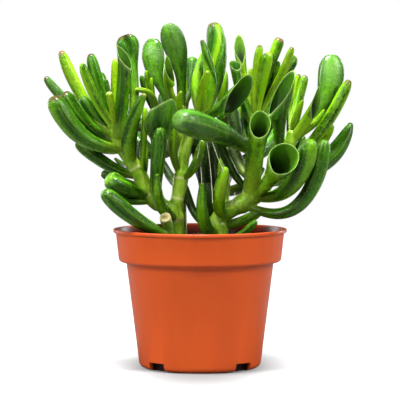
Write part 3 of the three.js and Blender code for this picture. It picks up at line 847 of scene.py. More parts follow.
# %% Small leaves between the big ones
SMALL_LEAVES = """
branch_left
club    8    -57 158     -70 172     -82 187      -4 0    dark
finger  4.4  -58 164     -62 182     -65 199.5    -12 -12 dark
club    7.6  -59 166     -65 186     -69 204      -6 -6   dark
trumpet 5    -58.5 165   -60 178     -63 190.5    -32 -36 lime drawn=ringed
finger  6.4  -57 163     -58 188     -58.5 213.5  -16 -18 lime
finger  4.6  -41 133     -38 160     -38 180      -24 -26 fresh
horn    5.4  -45 139     -50 136     -59 145      10 16   mid brown
club    8.4  -32 115     -45 113.5   -60 119.5    -22 -28 fresh
branch_back_left
finger  4.4  -31 175     -38 188     -40.5 202    10 8    dark
finger  4.4  -31 174     -35 190     -37 205.5    2 0     fresh
finger  3.4  -31 174     -33 188     -33.5 200.5  -2 -2   fresh
finger  4.2  -31 172     -28 193     -45 192      -4 -12  lime
trunk_front
finger  6    -13 133     -22 146     -18 172      -12 -16 fresh
finger  6.6  -13 131.5   -4 131.5    2 157.5      -14 -18 fresh
trunk_right
club    6    12 97       -4 95       -11 128      8 14    dark
trunk_back_left
funnel  9    -14 178     -26 194     -20 211.5    -2 -8   lime
+ slant=0.6 faces=0.85,-0.5,0.1 dip=0.8 pinch=0.3,0.4
trunk_front
horn    6    -5 168      -20 178     -13 191      -16 -24 lime
branch_middle
trumpet 7.6  38 165      26 190      24 211       -2 -6   dark
+ slant=0.3 faces=0.3,-0.8,0.3 dip=0.2 pinch=0.1,0.1
finger  4.4  38 170      36 190      35 207       -6 -8   fresh pink
finger  6.6  38.5 171    37 198      41.5 223     -10 -10 lime brown
branch_right
horn    6.4  63 160      79 165      86 178.5     -8 -10  lime pink
finger  7.2  63 161      66 182      73 202       2 0     fresh brown
finger  5.2  62 160      62 184      68.5 203     10 10   lime brown
horn    6.4  64 163      66 174      71 185       -12 -14 lime brown
club    6.4  42 124      46 132      51 141       6 4     fresh
branch_middle
finger  6    36 120      38 112      44 122       -2 -4   mid
trunk_right
finger  7.6  13 99       27 98       42 108       -8 -10  fresh
club    5.8  12 90       27 86       39 101.5     -26 -32 dark
branch_right
finger  4    55 142      76 138      84 156       6 8     lime
branch_middle
club    9    36.5 130    28 134      22 154       10 16   lime
club    8    37 145      24 158      22 184       12 18   dark
horn    8    38 160      30 172      32 190       14 20   mid
club    9    37 150      48 162      50 186       14 22   dark
branch_right
club    9    58 147      66 158      64 186       14 22   mid
horn    8    52 138      64 142      72 160       14 24   dark
trunk_back_left
club    8    -14 160     -24 168     -26 190      30 36   mid
horn    7    -14 172     -8 184      -12 204      24 26   fresh
branch_left
club    8    -50 148     -48 166     -44 186      8 14    dark
horn    7    -38 126     -44 138     -40 158      10 18   dark
trunk_back_right
horn    9    16 120      32 122      44 138       44 60   mid brown
club    8    21 158      14 172      16 206       34 34   fresh
horn    8    22 162      30 180      30 206       48 54   fresh pink
branch_left
club    9.4  -31 115     -30 132     -27 166      -36 -44 dark
club    8    -38 126     -55 128     -68 135      6 8     dark
horn    7    -40 131     -38 138     -38 158      -10 -12 mid
trunk_back_right
club    8    15 105      0 112       1 150        22 24   dark
club    9    14.5 98     6 100       5 128        6 8     dark
branch_right
finger  5    55 142      82 142      92 168       0 2     lime
club    9    58 147      76 150      86 160       10 14   mid
branch_middle
finger  6    38 165      48 190      54 212       6 6     fresh
branch_left
horn    7    -53 152     -62 150     -70 150      8 12    mid
trunk_front
horn    7    -14 126     -20 128     -27 146      12 18   mid
trunk_back_right
club    9    15 110      9 118       10.5 159     34 38   dark
club    7    15 108      -5 126      -2 161       28 30   dark
branch_middle
horn    6    37 148      29 156      31 176       2 6     dark
"""


def read_setting(word):
    name, text = word.split("=")
    if name == "drawn":
        return name, text
    numbers = tuple(float(part) for part in text.split(","))
    return name, numbers if len(numbers) > 1 else numbers[0]


def read_rows(table, framed):
    """One dictionary for each leaf. A line of one word names the stem, and + carries a row on."""
    found = []
    for words in map(str.split, table.strip().splitlines()):
        if len(words) == 1:
            stem = words[0]
            continue
        if words[0] == "+":
            found[-1].update(read_setting(word) for word in words[1:])
            continue
        kind = words[0]
        width, *places = [float(word) for word in words[1:10]]
        look, end, *_ = [word for word in words[10:] if "=" not in word] + ["plain"]
        found.append({
            "stem": stem, "kind": kind, "width": width, "base": places[0:2], "bow": places[2:4],
            "tip": places[4:6], "depth": places[6:8], "look": look, "end": end, "framed": framed,
            "slant": 0.0, "dip": 0.0, "pinch": (0, 0), "groove": 0.0, "plump": 1.0, "drawn": kind,
            **dict(read_setting(word) for word in words[10:] if "=" in word)})
    return found


LEAVES = read_rows(FRAMED_LEAVES, True) + read_rows(SMALL_LEAVES, False)
print("leaves in the frame:", sum(row["framed"] for row in LEAVES), "in all:", len(LEAVES))

# %% [markdown]
# ## Kinds of leaf
# A kind holds how flat the leaf is, and its outline: how wide it is at each share of its length.
# KINDS are the CAD model's kinds, with which the leaves are set in depth. DRAWN are the fuller shapes
# that are modelled here. MOUTHS gives the hollow ones the width of the opening and how deep it goes,
# both as a share.

# %% Leaf kinds
KINDS = {
    "finger": (0.95, [(0, 0.6), (0.1, 0.76), (0.4, 0.9), (0.75, 1), (0.92, 0.86), (0.982, 0.5)]),
    "club": (0.88, [(0, 0.4), (0.12, 0.54), (0.35, 0.74), (0.6, 0.92), (0.82, 1), (0.94, 0.82),
                    (0.985, 0.48)]),
    "horn": (0.88, [(0, 0.56), (0.1, 0.88), (0.3, 1), (0.6, 0.88), (0.84, 0.64), (0.96, 0.38)]),
    "spoon": (0.5, [(0, 0.36), (0.2, 0.42), (0.4, 0.54), (0.56, 0.8), (0.7, 0.98), (0.8, 1), (0.92, 0.82),
                    (0.98, 0.48)]),
    "hood": (0.8, [(0, 0.38), (0.2, 0.44), (0.58, 0.5), (0.7, 0.78), (0.8, 0.96), (0.97, 1)]),
    "funnel": (1, [(0, 0.4), (0.15, 0.48), (0.45, 0.58), (0.7, 0.8), (0.88, 0.96), (0.97, 1)]),
    "trumpet": (1, [(0, 0.6), (0.12, 0.82), (0.5, 0.9), (0.8, 0.93), (0.97, 1)]),
    "cup": (0.8, [(0, 0.38), (0.15, 0.46), (0.45, 0.56), (0.66, 0.78), (0.84, 0.96), (0.97, 1)]),
}
DRAWN = {
    "finger": (0.92, [(0, 0.6), (0.1, 0.76), (0.4, 0.92), (0.75, 1.02), (0.92, 0.92), (0.975, 0.66)]),
    "club": (0.86, [(0, 0.42), (0.12, 0.54), (0.35, 0.76), (0.6, 0.96), (0.82, 1.06), (0.93, 0.97),
                    (0.975, 0.72)]),
    "horn": (0.86, [(0, 0.56), (0.1, 0.88), (0.3, 1.02), (0.6, 0.92), (0.84, 0.7), (0.96, 0.42)]),
    "pointed": (0.72, [(0, 0.46), (0.2, 0.68), (0.45, 0.98), (0.65, 1.05), (0.84, 0.84), (0.94, 0.54),
                       (0.975, 0.36)]),
    "spoon": (0.46, [(0, 0.36), (0.2, 0.4), (0.4, 0.46), (0.54, 0.7), (0.68, 1.0), (0.78, 1.1),
                     (0.88, 1.02), (0.94, 0.84), (0.975, 0.6)]),
    "head": (0.62, [(0, 0.34), (0.3, 0.4), (0.7, 0.46), (0.78, 0.6), (0.86, 1.0), (0.93, 1.02),
                    (0.975, 0.74)]),
    "ringed": (0.95, [(0, 0.5), (0.3, 0.72), (0.6, 0.9), (0.85, 1.02), (0.94, 1.0)]),
    "hood": (0.72, [(0, 0.38), (0.4, 0.46), (0.58, 0.52), (0.66, 0.8), (0.76, 1.06), (0.88, 1.12),
                    (0.97, 1.02)]),
    "funnel": (1, [(0, 0.42), (0.15, 0.5), (0.45, 0.6), (0.7, 0.82), (0.88, 0.98), (0.97, 1.06)]),
    "bell": (1, [(0, 0.34), (0.3, 0.38), (0.55, 0.46), (0.74, 0.7), (0.9, 0.98), (0.97, 1.05)]),
    "trumpet": (1, [(0, 0.66), (0.12, 0.84), (0.5, 0.88), (0.8, 0.9), (0.9, 0.97), (0.97, 1.06)]),
    "cup": (0.8, [(0, 0.38), (0.15, 0.46), (0.45, 0.56), (0.66, 0.84), (0.82, 1.08), (0.97, 1.04)]),
}
MOUTHS = {"hood": (0.94, 0.24), "funnel": (0.94, 0.4), "bell": (0.94, 0.36), "trumpet": (0.93, 0.3),
          "cup": (0.94, 0.44)}
DIMPLED = "ringed"


def width_at(kind, heights):
    """How wide a kind of leaf is, as a share, at a share of its length."""
    return np.interp(heights, *zip(*kind[1]))

# %% [markdown]
# ## Setting the leaves in depth
# A photo shows where a leaf is from side to side and up and down, but not how deep it stands. Each
# middle line slides along the line of sight, so its look from the front stays. Where two leaves
# would run into each other beyond their bases, the nearer one moves to the front and the farther one
# to the back, a little at a time. The frame's leaves are settled first, in the same way as in the
# CAD model. Then they stay, and the small leaves find room between them as far as there is any.

# %% Middle lines
EYE = np.array(VIEW_POINT) / MM


def at_depth(seen, depth):
    """The point that looks the same from the front but stands at another depth."""
    flat = np.array([seen[0], 0.0, seen[1]])
    return EYE + (flat - EYE) * (1 - depth / EYE[1])


def place_root(row):
    line = stem_line(row["stem"])
    gaps = np.hypot(line[:, 0] - row["base"][0], line[:, 2] - row["base"][1])
    row["root"] = line[np.argmin(gaps)]


def bend_and_tip(row):
    return at_depth(row["bow"], row["at"][0]), at_depth(row["tip"], row["at"][1])


def middle_line(row, share):
    """Points of a leaf's middle line, in millimetres."""
    t = np.asarray(share, dtype=float)[..., None]
    bow, tip = bend_and_tip(row)
    return (1 - t) ** 2 * row["root"] + 2 * t * (1 - t) * bow + t ** 2 * tip


def unit(vector):
    return vector / np.linalg.norm(vector, axis=-1, keepdims=True)


def line_direction(row, share):
    t = np.asarray(share, dtype=float)[..., None]
    bow, tip = bend_and_tip(row)
    return unit((1 - t) * (bow - row["root"]) + t * (tip - bow))

# %% Settling
LEAF_GAP = 0.6
SETTLE_PASSES = 40
SETTLE_SAMPLES = 9
SETTLE_LIMIT = 26
SETTLE_FREE_SHARE = 0.3


def pair_push(centres, radii, i, j):
    """The largest push in depth that two leaves ask for, and where on each leaf."""
    reach = radii[i][:, None] + radii[j][None, :] + LEAF_GAP
    apart = centres[i][:, None, :] - centres[j][None, :, :]
    flat = apart[..., 0] ** 2 + apart[..., 2] ** 2
    push = np.sqrt(np.maximum(reach ** 2 - flat, 0)) - np.abs(apart[..., 1])
    push[flat >= reach ** 2] = 0
    a, b = np.unravel_index(np.argmax(push), push.shape)
    return push[a, b], a, b


def share_out(push, t):
    """Turns a push at one point of a leaf into a move of its bend and its tip."""
    bow = 2 * t * (1 - t)
    tip = t * t
    scale = 0.5 / (bow * bow + tip * tip)
    return np.array([push * bow * scale, push * tip * scale])


def settle(rows, moving):
    """Slides crossing leaves apart in depth. Only the rows in moving may move."""
    shares = (np.arange(SETTLE_SAMPLES) + 1) / SETTLE_SAMPLES
    start = np.array([row["depth"] for row in rows], dtype=float)
    middle = start.sum(axis=1)
    radii = [width_at(KINDS[row["kind"]], shares) * row["width"] / 2 for row in rows]
    free = [row in moving for row in rows]
    for _ in range(SETTLE_PASSES):
        centres = [middle_line(row, shares) for row in rows]
        low = [c.min(axis=0) - r.max() - LEAF_GAP for c, r in zip(centres, radii)]
        high = [c.max(axis=0) + r.max() for c, r in zip(centres, radii)]
        move = np.zeros((len(rows), 2))
        for i in range(len(rows)):
            for j in range(i + 1, len(rows)):
                if not (free[i] or free[j]) or np.any(low[i] > high[j]) or np.any(low[j] > high[i]):
                    continue
                push, a, b = pair_push(centres, radii, i, j)
                if push <= 0 or min(shares[a], shares[b]) < SETTLE_FREE_SHARE:
                    continue
                side = -0.5 if middle[i] <= middle[j] else 0.5
                move[i] += share_out(side * push, shares[a])
                move[j] += share_out(-side * push, shares[b])
        for k, row in enumerate(rows):
            if free[k]:
                row["at"] = np.clip(row["at"] + move[k], start[k] - SETTLE_LIMIT, start[k] + SETTLE_LIMIT)


for row in LEAVES:
    place_root(row)
    row["at"] = np.array(row["depth"], dtype=float)
framed = [row for row in LEAVES if row["framed"]]
unframed = [row for row in LEAVES if not row["framed"]]
settle(framed, framed)
settle(LEAVES, unframed)

# %% Leaf names, and a check against the frame
NEAR_TIP = 0.97
counts = {}
for row in LEAVES:
    key = row["stem"] if row["framed"] else "small"
    counts[key] = counts.get(key, 0) + 1
    row["name"] = f"{key}_leaf_{counts[key]}"


def box_margin(row):
    """How far inside its CAD node's box a leaf's middle line is near the tip, in millimetres."""
    low, high = [np.array(corner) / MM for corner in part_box(row["name"])]
    point = middle_line(row, NEAR_TIP)
    return float(np.min(np.minimum(point - low, high - point)))


least = min(framed, key=box_margin)
print("least margin in a CAD node's box:", least["name"], round(box_margin(least), 2), "mm")

# %% [markdown]
# ## Leaf blanks
# One blank is modelled for each kind of leaf: a ring of points is extruded and resized step by step
# from base to tip and smoothed with a Subdivision Surface. A hollow leaf turns over its rim and goes
# back down inside. Each leaf is then a copy of its blank, bent along its middle line.

# %% Modelling a blank
BLANK_SIDES = 12
ROUND_UP = 1.047
SIDE_HEIGHTS = [0, 0.03, 0.08, 0.16, 0.26, 0.38, 0.5, 0.6, 0.7, 0.8, 0.88, 0.94]
DIMPLE_RINGS = [(0.88, 0.972, 0, 0.3), (0.68, 0.993, 0, 1), (0.46, 1.0, 0, 1),
                (0.28, 0.994, 0.1, 0.3), (0.12, 0.989, 0.2, 0)]


def mouth_rings(kind, end):
    """The rings that turn over a hollow leaf's rim and go back down inside."""
    rim, deep = MOUTHS[kind]
    wall = 1 - rim
    rings = [(end, 0.982, 0, 0.4), (end - wall * 0.15, 0.999, 0.05, 1),
             (end - wall * 0.85, 0.999, 0.15, 1), (end - wall, 0.986, 0.3, 0.4)]
    for step in (0.08, 0.25, 0.45, 0.65, 0.82, 0.94):
        height = 1 - deep * step
        width = (float(width_at(DRAWN[kind], height)) - wall) * math.sqrt(max(1 - step ** 2.2, 0.03))
        rings.append((width, height, 0.35 + 0.65 * step, 0))
    return rings


def blank_rings(kind):
    """(radius, height, hollow, rim) for each ring of the blank, from base to end."""
    sides = [(float(width_at(DRAWN[kind], h)), h, 0, 0) for h in SIDE_HEIGHTS]
    end = DRAWN[kind][1][-1][1]
    if kind == DIMPLED:
        return [*sides, *DIMPLE_RINGS]
    if kind in MOUTHS:
        return [*sides, *mouth_rings(kind, end)]
    return [*sides, (end * 0.96, 0.976, 0, 0), (end * 0.72, 0.991, 0, 0), (end * 0.36, 0.999, 0, 0)]


def make_blank(kind):
    """Models a blank. Gives its mesh, and how hollow and how near to the rim each point lies."""
    rings = blank_rings(kind)
    bpy.ops.mesh.primitive_circle_add(vertices=BLANK_SIDES, radius=rings[0][0] * ROUND_UP)
    piece = new_piece(f"{kind}_blank")
    edit(piece)
    for (r0, z0, *_), (r1, z1, *_) in zip(rings, rings[1:]):
        bpy.ops.mesh.extrude_region_move(TRANSFORM_OT_translate={"value": (0, 0, z1 - z0)})
        bpy.ops.transform.resize(value=(r1 / r0, r1 / r0, 1), center_override=(0, 0, 0))
    bpy.ops.mesh.select_all(action="SELECT")
    bpy.ops.mesh.fill_holes(sides=0)
    bpy.ops.mesh.normals_make_consistent(inside=False)
    leave_edit()
    ring_of = np.minimum(np.arange(len(piece.data.vertices)) // BLANK_SIDES, len(rings) - 1)
    for name, column in (("hollow", 2), ("rim", 3)):
        write_values(piece.data, name, np.array([ring[column] for ring in rings], dtype=float)[ring_of])
    apply_modifier(piece, "SUBSURF", levels=2, render_levels=2)
    return piece


BLANKS = {kind: make_blank(kind) for kind in DRAWN}
for kind, blank in BLANKS.items():
    print(kind, "blank faces:", len(blank.data.polygons))

# %% [markdown]
# ## Bending the leaves
# A copy of the blank is laid along its middle line. Its width and its flatness come from the row. No
# two leaves are quite alike, so a slow noise swells and dents each one a little. The base flares into
# the stem. A hollow leaf's mouth may be slanted, dipped or pinched, and a groove folds a leaf's front.

# %% Leaf bending
LOOKS = {
    "dark": (-0.06, 0.15, 0.3), "mid": (0.1, 0.15, 0.36), "waxy": (0.04, 0.9, 0.34),
    "fresh": (0.4, 0.05, 0.5), "lime": (0.78, 0.0, 0.7), "stripe": (0.05, 0.25, 0.4),
    "fresh_stalk": (0.34, 0.1, 0.7), "dark_head": (-0.04, 0.3, 0.8),
}
ENDS = {"plain": (0.15, 0.0), "brown": (0.75, 0.0), "pink": (0.3, 0.35), "ring": (0.95, 0.15)}
FLARE = 0.35
FLARE_SHARE = 0.05
WAVY_RIM = 0.1
GROOVE_WIDTH = 0.24


def facing(row):
    """The way that a leaf looks."""
    if "faces" in row:
        return unit(np.array(row["faces"], dtype=float))
    run = unit(middle_line(row, 1.0) - row["root"])
    return unit(np.array([-run[0] * 0.4, -run[1] * 0.4, 1.0]))


def ease(values, low, high):
    t = np.clip((values - low) / (high - low), 0, 1)
    return t * t * (3 - 2 * t)


def line_length(row):
    points = middle_line(row, np.linspace(0, 1, 200))
    return float(np.linalg.norm(np.diff(points, axis=0), axis=1).sum())


def slow_noise(points, seed, scale):
    return np.array([noise.noise(Vector(p) * scale + Vector((seed, 2 * seed, 0))) for p in points])


def shaped_blank(row, points, seed):
    """The blank's points with their mouth slanted and pinched and their front grooved."""
    x, y, along = points.T.copy()
    half_share = row["width"] / 2 * row["plump"] / line_length(row)
    weight = ease(along, 0.45, 0.95)
    lower = row["slant"] * (2 * y + 1) + row["dip"] * (y + 1)
    lower = lower + WAVY_RIM * np.sin(2 * np.arctan2(y, x) + seed)
    along = along - (row["drawn"] in MOUTHS) * lower * half_share * weight
    front_pinch, back_pinch = row["pinch"]
    narrow = front_pinch * np.maximum(y, 0) ** 1.5 + back_pinch * np.maximum(-y, 0) ** 1.5
    x = x * (1 - weight * np.minimum(narrow, 0.85))
    y = y - row["groove"] * weight * np.exp(-(x / GROOVE_WIDTH) ** 2) * np.maximum(y, 0)
    return x, y, along


def bent_leaf(row, points, seed):
    """The blank's points laid along a leaf's middle line, in metres."""
    x, y, along = shaped_blank(row, points, seed)
    half = row["width"] / 2 * row["plump"]
    t = np.clip(along, 0, 1)
    tangent = line_direction(row, t)
    side = unit(np.cross(facing(row)[None, :], tangent))
    front = np.cross(tangent, side)
    swell = 1 + 0.07 * slow_noise(np.column_stack([x * 0.5, y * 0.5, along * 3]), seed, 1.3)
    swell += FLARE * np.exp(-np.maximum(along, 0) / FLARE_SHARE)
    flat = DRAWN[row["drawn"]][0]
    place = middle_line(row, t) + tangent * ((along - t) * line_length(row))[:, None]
    place = place + side * (x * swell * half)[:, None] + front * (y * swell * half * flat)[:, None]
    return place * MM

# %% Leaf copies
# The crown's middle and half sizes: leaves inside this oval get painted shade.
CROWN_MIDDLE = np.array([0, 22, 140]) * MM
CROWN_HALF = np.array([90, 46, 76]) * MM
MARGIN_WIDTH = 0.07
STRIPE_MIDDLE = 0.15
STRIPE_WIDTH = 0.2


def leaf_values(row, blank_points, hollow, leaf_points, seed):
    """What each point of a leaf keeps for the leaf skin."""
    x, y, along = blank_points.T
    young, bloom, reach = LOOKS[row["look"]]
    blush, pink = ENDS[row["end"]]
    ones = np.ones(len(x))
    margin = np.exp(-(y / MARGIN_WIDTH) ** 2) * ease(along, 0.15, 0.4) * ease(np.abs(x), 0.3, 0.6)
    across = np.clip(np.abs(x) / width_at(DRAWN[row["drawn"]], along), 0, 1)
    stripe = np.exp(-((x - STRIPE_MIDDLE) / STRIPE_WIDTH) ** 2)
    # How deep inside the crown a point lies, for painted shade.
    crown_share = np.linalg.norm((leaf_points - CROWN_MIDDLE) / CROWN_HALF, axis=1)
    return {
        "grain": np.column_stack([x + seed, y - seed, along * 4]), "along": along,
        "margin": margin * (1 - hollow), "base": np.clip(1 - along / reach, 0, 1),
        "young": ones * young, "bloom": ones * bloom, "blush": ones * blush, "pink": ones * pink,
        "ringed": ones * blush * (row["drawn"] == DIMPLED), "under": np.clip(0.5 - y / 1.6, 0, 1),
        "across": across * (1 - hollow), "stripe": stripe * (row["look"] == "stripe"),
        "inner": 1 - ease(crown_share, 0.4, 1.0)}


def make_leaf(row, seed):
    """A bent copy of the blank. How hollow it is and where its rim lies come along with the copy."""
    blank = BLANKS[row["drawn"]].data
    points = read_points(blank)
    mesh = blank.copy()
    mesh.name = row["name"] + "_shape"
    piece = bpy.data.objects.new(mesh.name, mesh)
    bpy.context.scene.collection.objects.link(piece)
    write_points(mesh, bent_leaf(row, points, seed))
    hollow = read_values(blank, "hollow")
    for name, values in leaf_values(row, points, hollow, read_points(mesh), seed).items():
        write_values(mesh, name, values)
    smooth_all(piece)
    return piece


leaf_pieces = [make_leaf(row, 3.7 * k) for k, row in enumerate(LEAVES)]
for blank in BLANKS.values():
    bpy.data.objects.remove(blank)
print("leaf faces in all:", sum(len(piece.data.polygons) for piece in leaf_pieces))

# %% [markdown]
# ## Leaf skin
# A jade leaf is plump and waxy. Its base is lime where it leaves the stem, the blade is deep green,
# and a young leaf stays lime all over, with green veins. Painted shade darkens the sides of each leaf,
# where it turns away, and all leaves inside the crown, where little light comes. The tip dries to a
# brownish ring, strong sun brings a blush, and pale specks dot the skin. A thin bloom makes some leaves
# look bluish, and towards the tip it is stronger, as a painted sheen. Faint pale streaks and a pale
# margin along the edges are partly the leaf's own and partly painted highlight. Inside a mouth painted
# shade darkens the green with depth, and the rim is pale and thin. Light goes a little way into the
# flesh, so some subsurface light softens the shadows.

# %% Leaf material
YELLOW_LIME = colour(148, 182, 44)
LIME = colour(126, 160, 10)
FRESH = colour(114, 170, 0)
GREEN = colour(64, 128, 0)
DEEP = colour(15, 54, 0)
PAINTED_SHADE_GREEN = colour(11, 26, 0)
MOUTH = colour(44, 96, 4)
BLOOM = colour(78, 120, 58)
PALE_SPECK_AND_SHEEN = colour(184, 208, 110)
RIM = colour(164, 198, 112)
MARGIN_AND_HIGHLIGHT = colour(196, 214, 120)
BROWN = colour(70, 36, 30)
PINK = colour(206, 150, 118)


def leaf_greens(kept, cloud, mottle, sides):
    """From the deep green of an old blade to the lime of a young one and of a base."""
    streaks = pattern(BLOTCHES, stretched(kept["grain"], 2.6, 2.6, 0.3), 1.0)
    ragged = kept["young"] * 0.5 + 0.14
    # The sides of a leaf turn less lime: painted shade where the rounded leaf turns away.
    lime = kept["young"] + kept["under"] * 0.15 + (cloud + mottle - 0.7) * ragged - sides * 0.34
    lime = maths("ADD", lime, kept["stripe"], clamp=True)
    tone = mix(spread(lime, 0.08, 0.55, kind="LINEAR"), mix(streaks, DEEP, GREEN), FRESH)
    tone = mix(spread(lime, 0.5, 1.0, kind="LINEAR"), tone, LIME)
    veins = maths("MULTIPLY", spread(mottle, 0.5, 0.9), kept["young"], clamp=True)
    tone = mix(veins * 0.6, tone, GREEN)
    # Painted shade inside the crown, where little light comes.
    tone = mix(kept["inner"] * 0.92, tone, PAINTED_SHADE_GREEN)
    return mix(spread(kept["base"], 0, 1) * 0.65, tone, YELLOW_LIME)


def leaf_bloom(kept, tone, cloud, sides, specks):
    """The waxy bloom, stronger at the tip as painted sheen, painted shade on the sides, and pale
    specks, streaks and margins; the streaks and margins are partly painted highlight.
    """
    # The leaf's own wax bloom, made stronger towards the tip as a painted sheen.
    waxy = kept["bloom"] * spread(kept["along"], 0.3, 1.0, 0.3, 0.8) * spread(cloud, 0, 1, 0.4, 1.0)
    tone = mix(waxy, tone, BLOOM)
    # Painted shade on the sides of a leaf, where it turns away.
    tone = mix(sides * 0.45, tone, PAINTED_SHADE_GREEN)
    # Thin pale streaks, partly the leaf's own and partly painted sheen.
    pale_streaks_and_sheen = pattern(BLOTCHES, stretched(kept["grain"], 8, 8, 0.5), 1.0)
    tone = mix(spread(pale_streaks_and_sheen, 0.55, 1.0) * 0.05, tone, PALE_SPECK_AND_SHEEN)
    # A pale margin along the edges, partly the leaf's own and partly a painted highlight.
    tone = mix(kept["margin"] * 0.08, tone, MARGIN_AND_HIGHLIGHT)
    return mix(specks * 0.3, tone, PALE_SPECK_AND_SHEEN)


def leaf_ends(kept, tone, mouth):
    """The dried or blushed tip, the inside of a mouth with painted shade deep in it, and its rim."""
    tip = spread(kept["along"], 0.95, 0.995) * kept["blush"]
    tone = mix(tip, tone, mix(kept["pink"], BROWN, PINK))
    tone = mix(mouth * 0.75, tone, MOUTH)
    # Painted shade that darkens a mouth's inside with depth.
    tone = mix(spread(kept["hollow"], 0.4, 0.85) * 0.95, tone, PAINTED_SHADE_GREEN)
    return mix(kept["rim"] * 0.5, tone, mix(kept["ringed"], RIM, BROWN))


def leaf_skin():
    material, place = new_material("leaf_skin")
    names = ("along", "hollow", "rim", "margin", "base", "young", "bloom", "blush", "pink", "ringed",
             "under", "across", "stripe", "inner")
    kept = {name: stored(place.tree, name) for name in names}
    kept["grain"] = stored(place.tree, "grain", "Vector")
    cloud = pattern(BLOTCHES, place, 90.0)
    mottle = pattern(BLOTCHES, place, 520.0)
    specks = pattern(SPECKS, place, 600.0, Size=0.3)
    # How near a point lies to a leaf's sides, for painted shade.
    sides = spread(kept["across"], 0.4, 1.0)
    mouth = spread(kept["hollow"], 0.05, 0.35)
    tone = leaf_greens(kept, cloud, mottle, sides)
    tone = leaf_bloom(kept, tone, cloud, sides, specks)
    height = pattern(SKIN, place, 1300.0) + mottle * 0.7 + specks * 0.4
    dull = maths("MAXIMUM", mouth, kept["inner"] * 0.5)
    return finish_material(material, {
        "Base Color": leaf_ends(kept, tone, mouth), "Normal": bump(height, 0.4, 0.3),
        "Roughness": spread(cloud, 0, 1, 0.18, 0.3) + dull * 0.3, "Specular IOR Level": 0.2,
        "Subsurface Weight": 0.15, "Subsurface Radius": (0.6, 1.0, 0.1), "Subsurface Scale": 0.002})


LEAF_SKIN = leaf_skin()
for row, piece in zip(LEAVES, leaf_pieces):
    piece.data.materials.append(LEAF_SKIN)
    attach(piece, BODY)
    if row["framed"]:
        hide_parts(row["name"])

# %% [markdown]
# ## Stems
# The stems are fleshy, and each leaf grows out of them with a soft collar, so no seam shows. Bars
# along the stem lines and short cones at the leaf bases are joined and melted into one skin with a
# voxel remesh, then smoothed.

# %% Bars and collars
STEM_SIDES = 16
RING_SWELL = 0.16
RING_REACH = 3
STEM_PLUMP = 1.17
STEM_WIDEST = 1.4
COLLAR_SHARE = 0.16
VOXEL = 0.6 * MM


def bar(name, centres, radii):
    """A closed bar through the centres, in millimetres, as an extruded ring that is then laid out."""
    bpy.ops.mesh.primitive_circle_add(vertices=STEM_SIDES, radius=1)
    piece = new_piece(name)
    edit(piece)
    for _ in centres[1:]:
        bpy.ops.mesh.extrude_region_move(TRANSFORM_OT_translate={"value": (0, 0, 1)})
    bpy.ops.mesh.select_all(action="SELECT")
    bpy.ops.mesh.fill_holes(sides=0)
    bpy.ops.mesh.normals_make_consistent(inside=False)
    leave_edit()
    points = read_points(piece.data)
    ring = np.rint(points[:, 2]).astype(int)
    tangent = unit(np.gradient(centres, axis=0))[ring]
    side = unit(np.cross(np.array([0.3, -1.0, 0.1])[None, :], tangent))
    front = np.cross(tangent, side)
    wide = np.asarray(radii)[ring][:, None]
    laid = centres[ring] + side * points[:, :1] * wide + front * points[:, 1:2] * wide
    write_points(piece.data, laid * MM)
    return piece


def stem_bar(name):
    centres = stem_line(name, 40)
    thick, thin = STEMS[name][1]
    share = np.linspace(0, 1, len(centres))
    radii = (thick + (thin - thick) * share) * STEM_PLUMP
    for row in LEAVES:
        if row["stem"] == name:
            near = np.linalg.norm(centres - row["root"], axis=1)
            radii = radii * (1 + RING_SWELL * np.exp(-(near / RING_REACH) ** 2))
    radii = np.minimum(radii, (thick + (thin - thick) * share) * STEM_WIDEST)
    radii[-1] *= 0.6
    return bar(name + "_bar", centres, radii)


def collar(row):
    """A cone that carries a leaf's base out of the stem."""
    shares = np.linspace(0, COLLAR_SHARE, 7)
    kind = KINDS[row["kind"]]
    leaf_radius = width_at(kind, shares) * row["width"] / 2 * kind[0]
    flare = 1.55 - 0.75 * ease(shares, 0, 0.14)
    return bar("collar", middle_line(row, shares), leaf_radius * flare)


def make_stems():
    names = [name for name in STEMS if name != "cut_stub"]
    parts = [stem_bar(name) for name in names]
    parts += [collar(row) for row in LEAVES if row["stem"] in names]
    stems = joined(parts)
    stems.name = stems.data.name = "green_stems"
    stems.data.remesh_voxel_size = VOXEL
    stems.data.remesh_voxel_adaptivity = 0
    pick(stems)
    bpy.ops.object.voxel_remesh()
    apply_modifier(stems, "SMOOTH", factor=0.5, iterations=10)
    smooth_all(stems)
    return stems, names


stems, stem_names = make_stems()
print("stem faces:", len(stems.data.polygons))

# %% [markdown]
# ### The pruned stub
# One stem at the front was cut off long ago. The cut has healed to a pale ring around a brown, sunken
# middle. The bar's end is inset three times, raised at first and then pushed in, and a Subdivision
# Surface rounds it all.

# %% Stub
STUB_TILT = 0.4
STUB_WAVE = 0.05
CUT_STEPS = ((0.5, 0.35), (0.7, -0.1), (0.7, -0.7))


def select_top_face(piece):
    """Selects the highest face and its points before edit mode is entered."""
    top = max(piece.data.polygons, key=lambda face: face.center.z)
    corners = set(top.vertices)
    for face in piece.data.polygons:
        face.select = face.index == top.index
    for line in piece.data.edges:
        line.select = False
    for vertex in piece.data.vertices:
        vertex.select = vertex.index in corners


def make_stub():
    centres = stem_line("cut_stub", 24)
    wave = 1 + STUB_WAVE * np.sin(np.linspace(0, 9, len(centres)))
    stub = bar("pruned_stub", centres, np.linspace(*STEMS["cut_stub"][1], len(centres)) * wave)
    points = read_points(stub.data)
    weight = ease(points[:, 2] / MM, 100, 106)
    points[:, 2] += STUB_TILT * weight * (points[:, 1] - centres[-1][1] * MM)
    write_points(stub.data, points)
    select_top_face(stub)
    pick(stub)
    bpy.ops.object.mode_set(mode="EDIT")
    bpy.ops.mesh.select_mode(type="FACE")
    for width, rise in CUT_STEPS:
        bpy.ops.mesh.inset(thickness=width * MM, depth=rise * MM)
    leave_edit()
    apply_modifier(stub, "SUBSURF", levels=2, render_levels=2)
    smooth_all(stub)
    return stub


